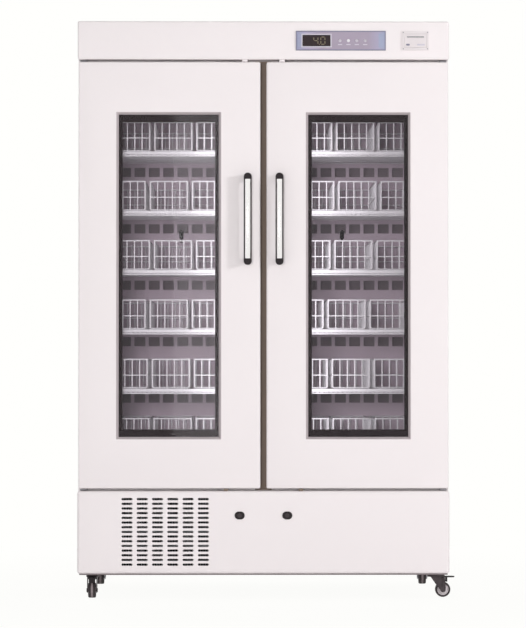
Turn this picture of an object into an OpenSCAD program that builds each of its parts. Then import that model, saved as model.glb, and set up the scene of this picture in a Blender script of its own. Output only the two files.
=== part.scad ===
// Upright cold storage cabinet with two glazed doors, wire shelves and baskets, on four swivel casters.
// +X is to the right of a viewer who faces the doors, +Y to the back, +Z up.
// The origin is on the floor under the middle of the cabinet's width and overall depth.

/* [Cabinet] */
// Overall width of the cabinet
cabinet_w = 1220; // [1100:1:1300]
// Depth of the cabinet behind the door gaskets
body_d = 719; // [640:1:800]
// Height of the header above the doors
header_h = 126; // [110:1:160]
// Height of the lower cover below the doors
lower_h = 271; // [240:1:320]
// Thickness of the outer and inner sheet metal
sheet_t = 1.5; // [1:0.1:2]
// Thickness of the insulated side and rear walls
wall_t = 72; // [60:1:85]
// Thickness of the insulated floor
floor_t = 80; // [60:1:100]
// Thickness of the insulated ceiling
ceiling_t = 74; // [60:1:100]
// Width of the folded front flange of a side panel
flange_w = 25; // [15:1:32]
// Half width of the post between the doors
mullion_hw = 50; // [46:1:60]
// Depth of the post between the doors
mullion_d = 40; // [30:1:50]

/* [Doors] */
// Height of a door
door_h = 1400; // [1320:1:1480]
// Thickness of a door
door_t = 55; // [50:1:65]
// Gap above and below the doors
row_gap = 8; // [7:0.5:12]
// Gap between the doors
centre_gap = 20; // [12:1:24]
// How far a door stops short of the cabinet's side
side_reveal = 3; // [1:0.5:5]
// Space for the gasket between door and cabinet
gasket_t = 10; // [8:0.5:14]
// Width of the gasket
gasket_w = 16; // [12:1:20]
// Inset of the gasket from the door's edges
gasket_inset = 18; // [17:0.5:20]
// Clearance between the gasket and the face frame
gasket_clear = 0.3; // [0.2:0.05:0.6]
// Rounding of a door's upright front edges
door_round = 4; // [1:0.5:6]
// Centre line to the middle of a guide block above a door
upper_guide_x = 61; // [50:1:80]
// Half width of a guide block above a door
upper_guide_half = 9; // [6:1:12]
// Centre line to the middle of a guide block below a door
lower_guide_x = 123; // [105:1:140]
// Half width of a guide block below a door
lower_guide_half = 7; // [6:1:12]
// Gap between a guide block and the door
guide_gap = 1; // [0.6:0.1:2]

/* [Windows] */
// Door width left beside the window at the handle
latch_margin = 129; // [110:1:150]
// Door width left beside the window at the hinge
hinge_margin = 124; // [105:1:145]
// Door height left above the window
top_margin = 165; // [140:1:190]
// Door height left below the window
bottom_margin = 161; // [140:1:190]
// Width of the bevelled window frame
bevel_w = 10; // [6:0.5:14]
// Black border beside the clear glass
border_side = 10; // [6:0.5:14]
// Black border above and below the clear glass
border_end = 22; // [14:1:30]
// Thickness of a glass pane
pane_t = 5; // [4:0.5:6]
// Space between the two panes
pane_space = 12; // [9:0.5:14]
// Clearance around a pane
pane_clear = 1; // [0.5:0.1:2]
// Depth of the window frame
trim_d = 12; // [10:0.5:14]

/* [Handles] */
// Length of a handle
handle_len = 302; // [240:1:360]
// Radius of a handle bar
handle_r = 13; // [10:0.5:16]
// How far a handle stands out from the door
handle_out = 46; // [40:1:55]
// Distance of a handle from the door's inner edge
handle_inset = 42; // [32:1:60]
// Height of a handle's middle above the floor
handle_z = 1245; // [1150:1:1300]

/* [Hinges] */
// Radius of a hinge pin
pin_r = 5; // [4:0.5:6]
// Length of a hinge pin inside the door
pin_len = 18; // [14:1:24]
// Radial running clearance of pins and axles
run_clear = 0.06; // [0.04:0.01:0.1]
// Inset of the hinge axis from the door's outer edge
pin_inset = 14; // [12:0.5:16]
// Depth of the hinge axis behind the door's face
pin_depth = 28; // [25:0.5:32]
// Thickness of a hinge bracket
bracket_t = 4; // [3:0.5:5]

/* [Shelves] */
// Number of shelf levels
levels = 6; // [4:1:6]
// Distance between shelf levels
shelf_pitch = 197; // [185:1:205]
// Height of the lowest shelf above the inner floor
first_shelf = 57; // [45:1:80]
// Thickness of the shelf lattice
shelf_t = 6; // [4:0.5:8]
// Height of the shelf's front rail
rail_h = 17; // [14:0.5:20]
// Thickness of a shelf upright
upright_t = 10; // [8:0.5:12]

/* [Baskets] */
// Baskets on half a shelf
baskets_across = 3; // [2:1:4]
// Height of a basket
basket_h = 100; // [80:1:110]
// Space between neighbouring baskets
basket_space = 12; // [8:0.5:16]
// Side room that the baskets can shift in
basket_room = 40; // [40:1:50]
// Thickness of the basket wire
wire_t = 3.5; // [3:0.5:5]
// Weld seam left between wire panels
seam = 0.3; // [0.2:0.05:0.5]
// Sideways place of the left baskets, lowest level first
left_shift = [-7, -13, -20, -6, -20, -5]; // [-20:1:20]
// Sideways place of the right baskets, lowest level first
right_shift = [1, -2, -16, 7, 20, 13]; // [-20:1:20]

/* [Air system] */
// Depth of the rear air duct
duct_d = 60; // [56:1:70]
// Slots in a row of the air duct
duct_slots = 20; // [16:1:20]
// Width of a duct slot
duct_slot_w = 38; // [28:1:40]
// Height of a duct slot
duct_slot_h = 32; // [20:1:34]
// Distance of the slot row below its shelf
duct_drop = 36; // [30:1:42]
// Radius of the evaporator fan
evap_fan_r = 62; // [50:1:66]
// Radius of the condenser fan
cond_fan_r = 100; // [80:1:105]
// Gap between a fan's tips and its ring
fan_gap = 6; // [4:0.5:9]

/* [Lower cover] */
// Columns of grille slots
grille_cols = 6; // [4:1:6]
// Rows of grille slots
grille_rows = 15; // [10:1:15]
// Column pitch of the grille
grille_px = 50; // [46:0.5:52]
// Row pitch of the grille
grille_pz = 15.3; // [13:0.1:15.5]
// Length of a grille slot
slot_w = 35.5; // [28:0.5:38]
// Height of a grille slot
slot_h = 7.5; // [5:0.5:9]
// Distance of the grille's middle from the cabinet's left side
grille_in = 288; // [280:1:300]

/* [Locks] */
// Distance of a lock from the centre line
lock_x = 78; // [72:1:84]
// Drop of a lock below the lower cover's top
lock_drop = 80; // [70:1:90]
// Radius of a lock plug
plug_r = 6.5; // [5:0.5:7.5]
// Crank radius that lifts the bolt
crank_r = 12.7; // [12:0.1:13]
// Radius of a lock bolt
bolt_r = 3.5; // [3:0.25:4]

/* [Controls] */
// Width of the control panel
fascia_w = 296; // [260:1:310]
// Height of the control panel
fascia_h = 65; // [58:1:72]
// Distance of the control panel's middle from the cabinet's right side
fascia_in = 356; // [352:1:362]
// Width of the display window
display_w = 92; // [80:1:96]
// Height of the display window
display_h = 37; // [30:1:42]
// Radius of a key
key_r = 5; // [4:0.25:6]
// Distance between keys
key_pitch = 27.5; // [22:0.5:28]
// Clearance around a key
key_clear = 0.3; // [0.2:0.05:0.5]
// Width of the printer module
printer_w = 87; // [80:1:90]
// Height of the printer module
printer_h = 63; // [56:1:70]
// Distance of the printer's middle from the cabinet's right side
printer_in = 111; // [106:1:116]

/* [Casters] */
// Height from the floor to the cabinet's underside
caster_h = 83; // [78:0.5:88]
// Radius of a caster wheel
wheel_r = 25; // [24:0.5:25]
// Width of a caster wheel
wheel_w = 25; // [20:0.5:26]
// Trail of a wheel behind its swivel axis
trail = 30; // [29:0.5:31]
// Distance of a swivel axis from the cabinet's side
caster_side = 46; // [40:1:70]
// Distance of a swivel axis from the cabinet's front and back edges
caster_end = 38; // [36:1:60]
// Reach of a brake pedal from the swivel axis
pedal_reach = 69; // [66:1:76]

/* [Hidden] */
$fn = 64;
eps = 0.01;
// Clearance of fixed pieces in their cut-outs
fit = 0.5;
hw = cabinet_w / 2;
grille_x = hw - grille_in;
total_d = handle_out + door_t + gasket_t + body_d;
y_back = total_d / 2;
y_face = handle_out - total_d / 2;
y_door_back = y_face + door_t;
y_flange = y_door_back + gasket_t;
z_base = caster_h;
z_lower = z_base + lower_h;
z_door0 = z_lower + row_gap;
z_door1 = z_door0 + door_h;
z_header = z_door1 + row_gap;
z_top = z_header + header_h;

// Inside of the insulation and of the liner
cav_hw = hw - wall_t;
cav_back = y_back - wall_t;
cav_z0 = z_lower + floor_t;
cav_z1 = z_header - ceiling_t;
lin_hw = cav_hw - sheet_t;
lin_back = cav_back - sheet_t;
lin_z0 = cav_z0 + sheet_t;
lin_z1 = cav_z1 - sheet_t;
mullion_back = y_flange + mullion_d;
duct_y = lin_back - duct_d;
duct_in = 36;
duct_hw = cav_hw - duct_in;
duct_edge = 2;
duct_pitch = 2 * (duct_hw - duct_edge) / duct_slots;
evap_drop = 96;
evap_fan_z = lin_z1 - evap_drop;

// Doors, drawn on the right side
door_x0 = centre_gap / 2;
door_x1 = hw - side_reveal;
pin_x = door_x1 - pin_inset;
pin_y = y_face + pin_depth;
win_x0 = door_x0 + latch_margin;
win_x1 = door_x1 - hinge_margin;
win_z0 = z_door0 + bottom_margin;
win_z1 = z_door1 - top_margin;
pane_y0 = y_face + trim_d;
pane_y1 = pane_y0 + pane_t;
pane_y2 = pane_y1 + pane_space;
pane_y3 = pane_y2 + pane_t;

// Shelves and baskets, drawn on the right side
shelf_x0 = mullion_hw + 14;
shelf_x1 = lin_hw - upright_t - 2.5;
shelf_y0 = mullion_back + 10;
shelf_y1 = duct_y - 6;
shelf_w = shelf_x1 - shelf_x0;
shelf_d = shelf_y1 - shelf_y0;
basket_pitch = (shelf_w - basket_room) / baskets_across;
basket_w = basket_pitch - basket_space;
basket_y0 = shelf_y0 + 12;
basket_d = shelf_d - 30;
function shelf_z(i) = lin_z0 - sheet_t + first_shelf + i * shelf_pitch;
function basket_x(k) = shelf_x0 + basket_room / 2 + (k + 0.5) * basket_pitch;

// Machine space
deck_t = 3;
z_deck = z_base + deck_t;
inner_hw = hw - sheet_t;
inner_y0 = y_flange + sheet_t;
inner_y1 = y_back - sheet_t;
rear_return = 20;
cond_x = -grille_x;
cond_hw = cond_fan_r + 55;
cond_y0 = y_flange + 20;
cond_d = 40;
cond_z0 = z_deck + 8;
cond_z1 = z_lower - 14;
cond_z = (cond_z0 + cond_z1) / 2;
shroud_y = cond_y0 + cond_d;
shaft_r = 4;

// Locks
lock_z = z_lower - lock_drop;
crank_angle = 45;
bolt_rise = 2 * crank_r * sin(crank_angle);
bolt_dx = crank_r * (1 + cos(crank_angle)) / 2;
bolt_y = y_face + 34.5;
keeper_r = bolt_r + 1.5;
crank_pin_r = 2;
crank_t = 4;
barrel_t = 3;
barrel_d = 24;
crank_y = barrel_d + 2;

// Controls
panel_z = z_header + header_h / 2 - 1;
fascia_t = 4;
fascia_x = hw - fascia_in;
printer_x = hw - printer_in;
display_off = 80;
display_x = fascia_x - display_off;
key_off = 2.5;
key_x0 = fascia_x - key_off;
flange_t = 6;
cover_w = printer_w - 14;
cover_h = printer_h - 18;
cover_clear = 0.3;
well_hw = cover_w / 2 + cover_clear;
well_hh = cover_h / 2 + cover_clear;
well_t = 2;
cover_pin_r = 1.5;
cover_pin_len = 3.5;
well_d = 52;
boss_in = 5.5;
cover_hinge_z = panel_z - cover_h / 2 + flange_t / 2;
cover_hinge_y = y_face - flange_t / 2;

// Casters
caster_x = hw - caster_side;
caster_y0 = y_flange + caster_end;
caster_y1 = y_back - caster_end;
caster_plate_t = 3;
race_z = caster_h - 9;
crown_t = 6.5;
crown_top = race_z - 0.5;
crown_z = crown_top - crown_t;
fork_in = wheel_w / 2 + 1.5;
fork_t = 2.5;
axle_r = 4;
kingpin_r = 5;
pedal_pin_r = 2.5;
pedal_u = trail - 2;
pedal_z = crown_z - 2;

white = [0.94, 0.91, 0.91];
steel = [0.72, 0.73, 0.75];
dark = [0.13, 0.12, 0.13];
grey = [0.55, 0.54, 0.56];

// Shared shapes

// Box between two opposite corners
module block(from, to) {
  translate(from) cube(to - from);
}

// Flat shape in X and Z, extruded towards the back from y0
module face_plate(y0, t) {
  translate([0, y0 + t, 0]) rotate([90, 0, 0]) linear_extrude(t) children();
}

module rod_y(x, z, y0, y1, r) {
  translate([x, y1, z]) rotate([90, 0, 0]) cylinder(r = r, h = y1 - y0);
}

module rod_x(y, z, x0, x1, r) {
  translate([x0, y, z]) rotate([0, 90, 0]) cylinder(r = r, h = x1 - x0);
}

module both_sides() {
  children();
  mirror([1, 0, 0]) children();
}

// Slot with round ends, centred
module slot2d(w, h) {
  square([w - h, h], center = true);
  for (s = [-1, 1]) translate([s * (w - h) / 2, 0]) circle(d = h);
}

// Rectangle between two corners
module rect2d(x0, z0, x1, z1) {
  translate([x0, z0]) square([x1 - x0, z1 - z0]);
}

// Flat wire lattice of nx by ny openings, from the origin
module lattice(w, h, nx, ny, wire, t) {
  cw = (w - (nx + 1) * wire) / nx;
  ch = (h - (ny + 1) * wire) / ny;
  linear_extrude(t) difference() {
    square([w, h]);
    for (i = [0 : nx - 1], j = [0 : ny - 1])
      translate([wire + i * (cw + wire), wire + j * (ch + wire)]) square([cw, ch]);
  }
}

// Shallow tray that is open at the back
module cover_pan(z0, z1) {
  difference() {
    block([-hw, y_face, z0], [hw, y_flange, z1]);
    block([-hw + sheet_t, y_face + sheet_t, z0 + sheet_t], [hw - sheet_t, y_flange + 1, z1 - sheet_t]);
  }
}

// Fan rotor along Z from the origin
module fan_rotor(hub_r, tip_r, depth, bore_r) {
  blades = 5;
  chord = tip_r * 0.42;
  blade_t = 2;
  blade_tilt = 26;
  difference() {
    union() {
      cylinder(r = hub_r, h = depth);
      for (i = [0 : blades - 1])
        rotate(i * 360 / blades)
          translate([(hub_r + tip_r) / 2 - 2, 0, depth / 2])
            rotate([blade_tilt, 0, 0]) cube([tip_r - hub_r, chord, blade_t], center = true);
    }
    translate([0, 0, -1]) cylinder(r = bore_r, h = depth + 2);
  }
}

// Finned heat exchanger between two corners, with tubes along X
module coil(from, to, fins, tubes) {
  fin_t = 1.2;
  tube_r = 4;
  pitch = (to.x - from.x - fin_t) / (fins - 1);
  for (i = [0 : fins - 1])
    block([from.x + i * pitch, from.y, from.z], [from.x + i * pitch + fin_t, to.y, to.z]);
  for (i = [0 : tubes - 1])
    rod_x((from.y + to.y) / 2, from.z + (i + 0.5) * (to.z - from.z) / tubes, from.x - 8, to.x + 8, tube_r);
}

// Cabinet shell

module side_panels() {
  color(white) both_sides()
    translate([0, 0, z_base]) linear_extrude(z_top - sheet_t - z_base) union() {
      rect2d(hw - sheet_t, y_flange, hw, y_back);
      rect2d(hw - flange_w, y_flange, hw, y_flange + sheet_t);
      rect2d(hw - rear_return, y_back - sheet_t, hw, y_back);
    }
}

module top_panel() {
  color(white) block([-hw, y_flange, z_top - sheet_t], [hw, y_back, z_top]);
}

module back_panel() {
  color(white) block([rear_return - hw, inner_y1, z_lower], [hw - rear_return, y_back, z_top - sheet_t]);
}

module machine_rear_cover() {
  vent_w = 6;
  vent_h = 130;
  vent_pitch = 16;
  vents = 24;
  gland_in = 150;
  gland_up = 60;
  gland_x = gland_in - hw;
  gland_z = z_base + gland_up;
  gland_r = 12;
  gland_bore = 6;
  gland_d = 14;
  color(white) difference() {
    union() {
      face_plate(inner_y1, sheet_t) difference() {
        rect2d(rear_return - hw, z_base, hw - rear_return, z_lower);
        for (i = [0 : vents - 1])
          translate([(i - (vents - 1) / 2) * vent_pitch, (z_base + z_lower) / 2])
            rotate(90) slot2d(vent_h, vent_w);
      }
      rod_y(gland_x, gland_z, inner_y1 - gland_d, inner_y1 + sheet_t / 2, gland_r);
    }
    rod_y(gland_x, gland_z, inner_y1 - gland_d - 1, y_back + 1, gland_bore);
  }
}

module insulation() {
  color([0.93, 0.88, 0.7]) difference() {
    block([-inner_hw, inner_y0, z_lower], [inner_hw, inner_y1, z_header]);
    block([-cav_hw, inner_y0 - 1, cav_z0], [cav_hw, cav_back, cav_z1]);
  }
}

module inner_liner() {
  color(grey) difference() {
    block([-cav_hw, inner_y0, cav_z0], [cav_hw, cav_back, cav_z1]);
    block([-lin_hw, inner_y0 - 1, lin_z0], [lin_hw, lin_back, lin_z1]);
  }
}

module front_frame() {
  color(white) face_plate(y_flange, sheet_t) difference() {
    rect2d(flange_w - hw, z_lower, hw - flange_w, z_header);
    rect2d(-lin_hw, lin_z0, lin_hw, lin_z1);
  }
}

module center_mullion() {
  color([0.36, 0.31, 0.28]) block([-mullion_hw, y_flange, lin_z0], [mullion_hw, mullion_back, lin_z1]);
}

// Small guide block in the gap at a door's edge, on both sides of the centre line
module guide_blocks(x, half_w, z0, z1) {
  depth = 26;
  setback = 4;
  both_sides() block([x - half_w, y_face + setback, z0], [x + half_w, y_face + setback + depth, z1]);
}

module header_cover() {
  color(white) {
    difference() {
      cover_pan(z_header, z_top);
      block([fascia_x - fascia_w / 2 + boss_in - fit, y_face - 1, panel_z - fascia_h / 2 + boss_in - fit],
            [fascia_x + fascia_w / 2 - boss_in + fit, y_face + 5, panel_z + fascia_h / 2 - boss_in + fit]);
      block([printer_x - well_hw - well_t - fit, y_face - 1, panel_z - well_hh - well_t - fit],
            [printer_x + well_hw + well_t + fit, y_face + 5, panel_z + well_hh + well_t + fit]);
    }
    guide_blocks(upper_guide_x, upper_guide_half, z_door1 + guide_gap, z_header);
  }
}

module lower_front_cover() {
  barrel_hole = plug_r + barrel_t + fit;
  color(white) {
    difference() {
      cover_pan(z_base, z_lower);
      face_plate(y_face - 1, sheet_t + 2) {
        for (i = [0 : grille_cols - 1], j = [0 : grille_rows - 1])
          translate([(i - (grille_cols - 1) / 2) * grille_px - grille_x,
                     (z_base + z_lower) / 2 + (j - (grille_rows - 1) / 2) * grille_pz + 2])
            slot2d(slot_w, slot_h);
        for (s = [-1, 1]) translate([s * lock_x, lock_z]) circle(r = barrel_hole);
      }
      for (s = [-1, 1])
        translate([s * lock_x + bolt_dx, bolt_y, z_lower - sheet_t - 1])
          cylinder(r = bolt_r + fit, h = sheet_t + 2);
    }
    guide_blocks(lower_guide_x, lower_guide_half, z_lower, z_door0 - guide_gap);
  }
}

module base_frame() {
  rim_h = 40;
  rim_t = 3;
  color(grey) {
    block([-inner_hw, inner_y0, z_base], [inner_hw, inner_y1, z_deck]);
    both_sides() block([inner_hw - rim_t, inner_y0, z_base], [inner_hw, inner_y1, z_base + rim_h]);
  }
}

// Machine space

module compressor() {
  can_r = 80;
  can_h = 180;
  can_in = 310;
  can_back = 265;
  can_lift = 18;
  dome_r = 125;
  dome_z = 50;
  plate_hw = 110;
  plate_hd = 75;
  plate_t = 4;
  foot_x = 92;
  foot_y = 58;
  foot_r = 13;
  box_w = 40;
  box_hd = 32;
  box_z0 = 40;
  box_z1 = 110;
  pipe_r = 5;
  pipe_len = 60;
  pipe_y = 24;
  pipe_z = 70;
  sink = 12;
  color(dark) translate([hw - can_in, y_back - can_back, z_deck + can_lift]) {
    intersection() {
      cylinder(r = can_r, h = can_h);
      translate([0, 0, dome_z]) sphere(r = dome_r);
    }
    block([-plate_hw, -plate_hd, -plate_t], [plate_hw, plate_hd, 0]);
    for (sx = [-1, 1], sy = [-1, 1])
      translate([sx * foot_x, sy * foot_y, -can_lift]) cylinder(r = foot_r, h = can_lift - plate_t);
    block([can_r - sink, -box_hd, box_z0], [can_r - sink + box_w, box_hd, box_z1]);
    for (s = [-1, 1])
      translate([sink - can_r, s * pipe_y, pipe_z]) rotate([0, -90, 0]) cylinder(r = pipe_r, h = pipe_len);
  }
}

module condenser() {
  plate_t = 3;
  color(grey) {
    coil([cond_x - cond_hw + 6, cond_y0, cond_z0], [cond_x + cond_hw - 6, shroud_y, cond_z1], 36, 5);
    for (s = [-1, 1])
      block([cond_x + s * (cond_hw - plate_t / 2) - plate_t / 2, cond_y0, z_deck],
            [cond_x + s * (cond_hw - plate_t / 2) + plate_t / 2, shroud_y, cond_z1 + 4]);
  }
}

module condenser_fan_shroud() {
  hole_r = cond_fan_r + fan_gap;
  ring_t = 3;
  ring_d = 32;
  arm_w = 18;
  arm_t = 4;
  motor_r = 30;
  motor_d = 40;
  color(dark) {
    face_plate(shroud_y, ring_t) difference() {
      rect2d(cond_x - cond_hw, z_deck, cond_x + cond_hw, cond_z1 + 4);
      translate([cond_x, cond_z]) circle(r = hole_r);
    }
    face_plate(shroud_y, ring_d) translate([cond_x, cond_z]) difference() {
      circle(r = hole_r + ring_t);
      circle(r = hole_r);
    }
    face_plate(shroud_y + ring_d, arm_t) {
      rect2d(cond_x - hole_r - ring_t, cond_z - arm_w / 2, cond_x + hole_r + ring_t, cond_z + arm_w / 2);
      translate([cond_x, cond_z]) circle(r = motor_r);
    }
    rod_y(cond_x, cond_z, shroud_y + ring_d, shroud_y + ring_d + motor_d, motor_r - 2);
    rod_y(cond_x, cond_z, shroud_y + 6, shroud_y + ring_d + 1, shaft_r);
  }
}

module condenser_fan() {
  rotor_d = 22;
  color(grey) translate([cond_x, shroud_y + 28, cond_z]) rotate([90, 0, 0])
    fan_rotor(26, cond_fan_r, rotor_d, shaft_r + run_clear);
}

// Air duct

module air_duct_panel() {
  duct_z0 = lin_z0 + 20;
  duct_z1 = lin_z1 - 6;
  color(grey) {
    face_plate(duct_y, sheet_t) difference() {
      rect2d(-duct_hw, duct_z0, duct_hw, duct_z1);
      for (i = [1 : levels - 1], k = [0 : duct_slots - 1])
        translate([(k - (duct_slots - 1) / 2) * duct_pitch, shelf_z(i) - duct_drop])
          square([duct_slot_w, duct_slot_h], center = true);
      translate([0, evap_fan_z]) circle(r = evap_fan_r + fan_gap);
    }
    both_sides() block([duct_hw - sheet_t, duct_y, duct_z0], [duct_hw, lin_back, duct_z1]);
    block([-duct_hw, duct_y, duct_z0], [duct_hw, lin_back, duct_z0 + sheet_t]);
    block([-duct_hw, duct_y, duct_z1 - sheet_t], [duct_hw, lin_back, duct_z1]);
  }
}

module evaporator() {
  coil_in = 102;
  coil_hw = duct_hw - coil_in;
  coil_down = 90;
  coil_up = 75;
  coil_fins = 31;
  coil_d = 22;
  motor_r = 20;
  bracket_w = 24;
  coil_y = lin_back - coil_d;
  color(steel) {
    coil([-coil_hw, coil_y, evap_fan_z - coil_down], [coil_hw, lin_back, evap_fan_z + coil_up], coil_fins, 3);
    block([-coil_hw, coil_y - 2, evap_fan_z - bracket_w / 2], [coil_hw, coil_y, evap_fan_z + bracket_w / 2]);
    rod_y(0, evap_fan_z, coil_y - 10, coil_y, motor_r);
    rod_y(0, evap_fan_z, duct_y + 6, coil_y - 9, shaft_r);
  }
}

module evaporator_fan() {
  rotor_d = 16;
  color(dark) translate([0, duct_y + 8 + rotor_d, evap_fan_z]) rotate([90, 0, 0])
    fan_rotor(18, evap_fan_r, rotor_d, shaft_r + run_clear);
}

module probe_holders() {
  probe_x = 280;
  probe_drop = 58;
  probe_z = shelf_z(4) - probe_drop;
  clip_w = 14;
  clip_h = 26;
  probe_r = 4;
  color(dark) both_sides() {
    block([probe_x - clip_w / 2, duct_y - 10, probe_z - clip_h / 2],
          [probe_x + clip_w / 2, duct_y, probe_z + clip_h / 2]);
    translate([probe_x, duct_y - 8, probe_z - clip_h / 2 - 14]) cylinder(r = probe_r, h = clip_h + 18);
  }
}

// Shelves and baskets

// Row of ledges that carry the shelves, one for each level
module ledges(x0, y0, x1, y1) {
  ledge_t = 8;
  for (i = [0 : levels - 1])
    block([x0, y0, shelf_z(i) - shelf_t - ledge_t], [x1, y1, shelf_z(i) - shelf_t]);
}

module shelf_supports() {
  strip_w = 25;
  strip_in = 40;
  post_hw = 10;
  ledge_d = 30;
  ledge_y = shelf_y0 + 10;
  overlap = 9;
  color(steel) {
    both_sides() for (y = [shelf_y0 + strip_in, shelf_y1 - strip_in - strip_w]) {
      block([lin_hw - upright_t, y, lin_z0], [lin_hw, y + strip_w, lin_z1]);
      ledges(shelf_x1 - overlap, y, lin_hw - upright_t, y + strip_w);
    }
    block([-post_hw, mullion_back, lin_z0], [post_hw, ledge_y + ledge_d, lin_z1]);
    ledges(-shelf_x0 - overlap, ledge_y, shelf_x0 + overlap, ledge_y + ledge_d);
    block([-post_hw, duct_y - upright_t, lin_z0 + 20], [post_hw, duct_y, shelf_z(levels - 1)]);
    ledges(-shelf_x0 - overlap, duct_y - ledge_d, shelf_x0 + overlap, duct_y - upright_t + 1);
  }
}

module shelf_half() {
  rail_t = 6;
  color(white) {
    translate([shelf_x0, shelf_y0 + rail_t + seam, -shelf_t])
      lattice(shelf_w, shelf_d - rail_t - seam, 12, 3, shelf_t, shelf_t);
    block([shelf_x0, shelf_y0, -rail_h], [shelf_x1, shelf_y0 + rail_t, 0]);
  }
}

module shelves() {
  for (i = [0 : levels - 1]) translate([0, 0, shelf_z(i)]) both_sides() shelf_half();
}

// Basket of five welded wire panels, standing on z = 0 with its front at y = 0
module basket() {
  wall_z = wire_t + seam;
  wall_h = basket_h - wall_z;
  side_d = basket_d - 2 * (wire_t + seam);
  translate([-basket_w / 2, 0, 0]) {
    lattice(basket_w, basket_d, 4, 4, wire_t, wire_t);
    for (y = [wire_t, basket_d])
      translate([0, y, wall_z]) rotate([90, 0, 0]) lattice(basket_w, wall_h, 5, 2, wire_t, wire_t);
    for (x = [0, basket_w - wire_t])
      translate([x, wire_t + seam, wall_z]) rotate([90, 0, 90]) lattice(side_d, wall_h, 5, 2, wire_t, wire_t);
  }
}

// All baskets of one half of the cabinet, side is -1 or 1
module basket_stack(side, shift) {
  color(white) for (i = [0 : levels - 1], k = [0 : baskets_across - 1])
    translate([side * basket_x(k) + shift[i], basket_y0, shelf_z(i) + seam]) basket();
}

module left_baskets() {
  basket_stack(-1, left_shift);
}

module right_baskets() {
  basket_stack(1, right_shift);
}

// Doors, drawn on the right side and mirrored for the left

// Holes for the hinge pins and the lock bolt
module door_bores(keeper_x) {
  keeper_depth = bolt_rise - row_gap + 4;
  for (z = [z_door0 - 1, z_door1 - pin_len - 1])
    translate([pin_x, pin_y, z]) cylinder(r = pin_r + run_clear, h = pin_len + 2);
  translate([keeper_x, bolt_y, z_door0 - 1]) cylinder(r = keeper_r, h = keeper_depth + 1);
}

// Outer steel pan, open at the back
module door_shell(keeper_x) {
  color(white) difference() {
    translate([0, 0, z_door0]) linear_extrude(door_h) union() {
      rect2d(door_x0, y_face + door_round, door_x1, y_door_back);
      rect2d(door_x0 + door_round, y_face, door_x1 - door_round, y_door_back);
      for (x = [door_x0 + door_round, door_x1 - door_round])
        translate([x, y_face + door_round]) circle(r = door_round);
    }
    block([door_x0 + sheet_t, y_face + sheet_t, z_door0 + sheet_t],
          [door_x1 - sheet_t, y_door_back + 1, z_door1 - sheet_t]);
    block([win_x0, y_face - 1, win_z0], [win_x1, pane_y3, win_z1]);
    door_bores(keeper_x);
  }
}

// Insulated core with the inner skin, filling the pan
module door_core(keeper_x) {
  color(white) difference() {
    block([door_x0 + sheet_t, y_face + sheet_t, z_door0 + sheet_t],
          [door_x1 - sheet_t, y_door_back, z_door1 - sheet_t]);
    block([win_x0, y_face - 1, win_z0], [win_x1, pane_y3, win_z1]);
    block([win_x0 + bevel_w, y_face, win_z0 + bevel_w],
          [win_x1 - bevel_w, y_door_back + 1, win_z1 - bevel_w]);
    door_bores(keeper_x);
  }
}

// Rectangle of the window, drawn in by a border at the sides and at the ends
module window2d(side, end) {
  rect2d(win_x0 + side, win_z0 + end, win_x1 - side, win_z1 - end);
}

// Bevelled outer frame and the black spacer between the panes
module window_frame() {
  lip = 1;
  slope_d = trim_d - 4;
  side = bevel_w + border_side;
  end = bevel_w + border_end;
  color(dark) {
    difference() {
      face_plate(y_face, trim_d) difference() {
        window2d(0, 0);
        window2d(bevel_w, bevel_w);
      }
      hull() {
        face_plate(y_face - 1, 1) window2d(lip, lip);
        face_plate(y_face + slope_d, 1) window2d(bevel_w, bevel_w);
      }
    }
    face_plate(pane_y1, pane_space) difference() {
      window2d(pane_clear, pane_clear);
      window2d(side, end);
    }
  }
}

module door_glass() {
  color([0.75, 0.82, 0.85, 0.3]) for (y = [pane_y0, pane_y2])
    face_plate(y, pane_t) window2d(pane_clear, pane_clear);
}

module door_gasket() {
  in = gasket_inset + gasket_w;
  color(grey) face_plate(y_door_back, gasket_t - gasket_clear) difference() {
    rect2d(door_x0 + gasket_inset, z_door0 + gasket_inset, door_x1 - gasket_inset, z_door1 - gasket_inset);
    rect2d(door_x0 + in, z_door0 + in, door_x1 - in, z_door1 - in);
  }
}

module door_handle() {
  post_h = 21;
  bar_x = door_x0 + handle_inset;
  bar_y = y_face - handle_out + handle_r;
  bar_z = handle_z - handle_len / 2;
  color(steel) {
    translate([bar_x, bar_y, bar_z + handle_r]) cylinder(r = handle_r, h = handle_len - 2 * handle_r);
    for (z = [bar_z + handle_r, bar_z + handle_len - handle_r])
      translate([bar_x, bar_y, z]) sphere(r = handle_r);
    for (z = [bar_z + 4, bar_z + handle_len - 4 - post_h])
      block([bar_x - handle_r + 3, bar_y, z], [bar_x + handle_r - 3, y_face, z + post_h]);
  }
}

module left_door_shell() { mirror([1, 0, 0]) door_shell(lock_x - bolt_dx); }
module right_door_shell() { door_shell(lock_x + bolt_dx); }
module left_door_core() { mirror([1, 0, 0]) door_core(lock_x - bolt_dx); }
module right_door_core() { door_core(lock_x + bolt_dx); }
module left_window_frame() { mirror([1, 0, 0]) window_frame(); }
module right_window_frame() { window_frame(); }
module left_door_glass() { mirror([1, 0, 0]) door_glass(); }
module right_door_glass() { door_glass(); }
module left_door_gasket() { mirror([1, 0, 0]) door_gasket(); }
module right_door_gasket() { door_gasket(); }
module left_door_handle() { mirror([1, 0, 0]) door_handle(); }
module right_door_handle() { door_handle(); }

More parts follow.
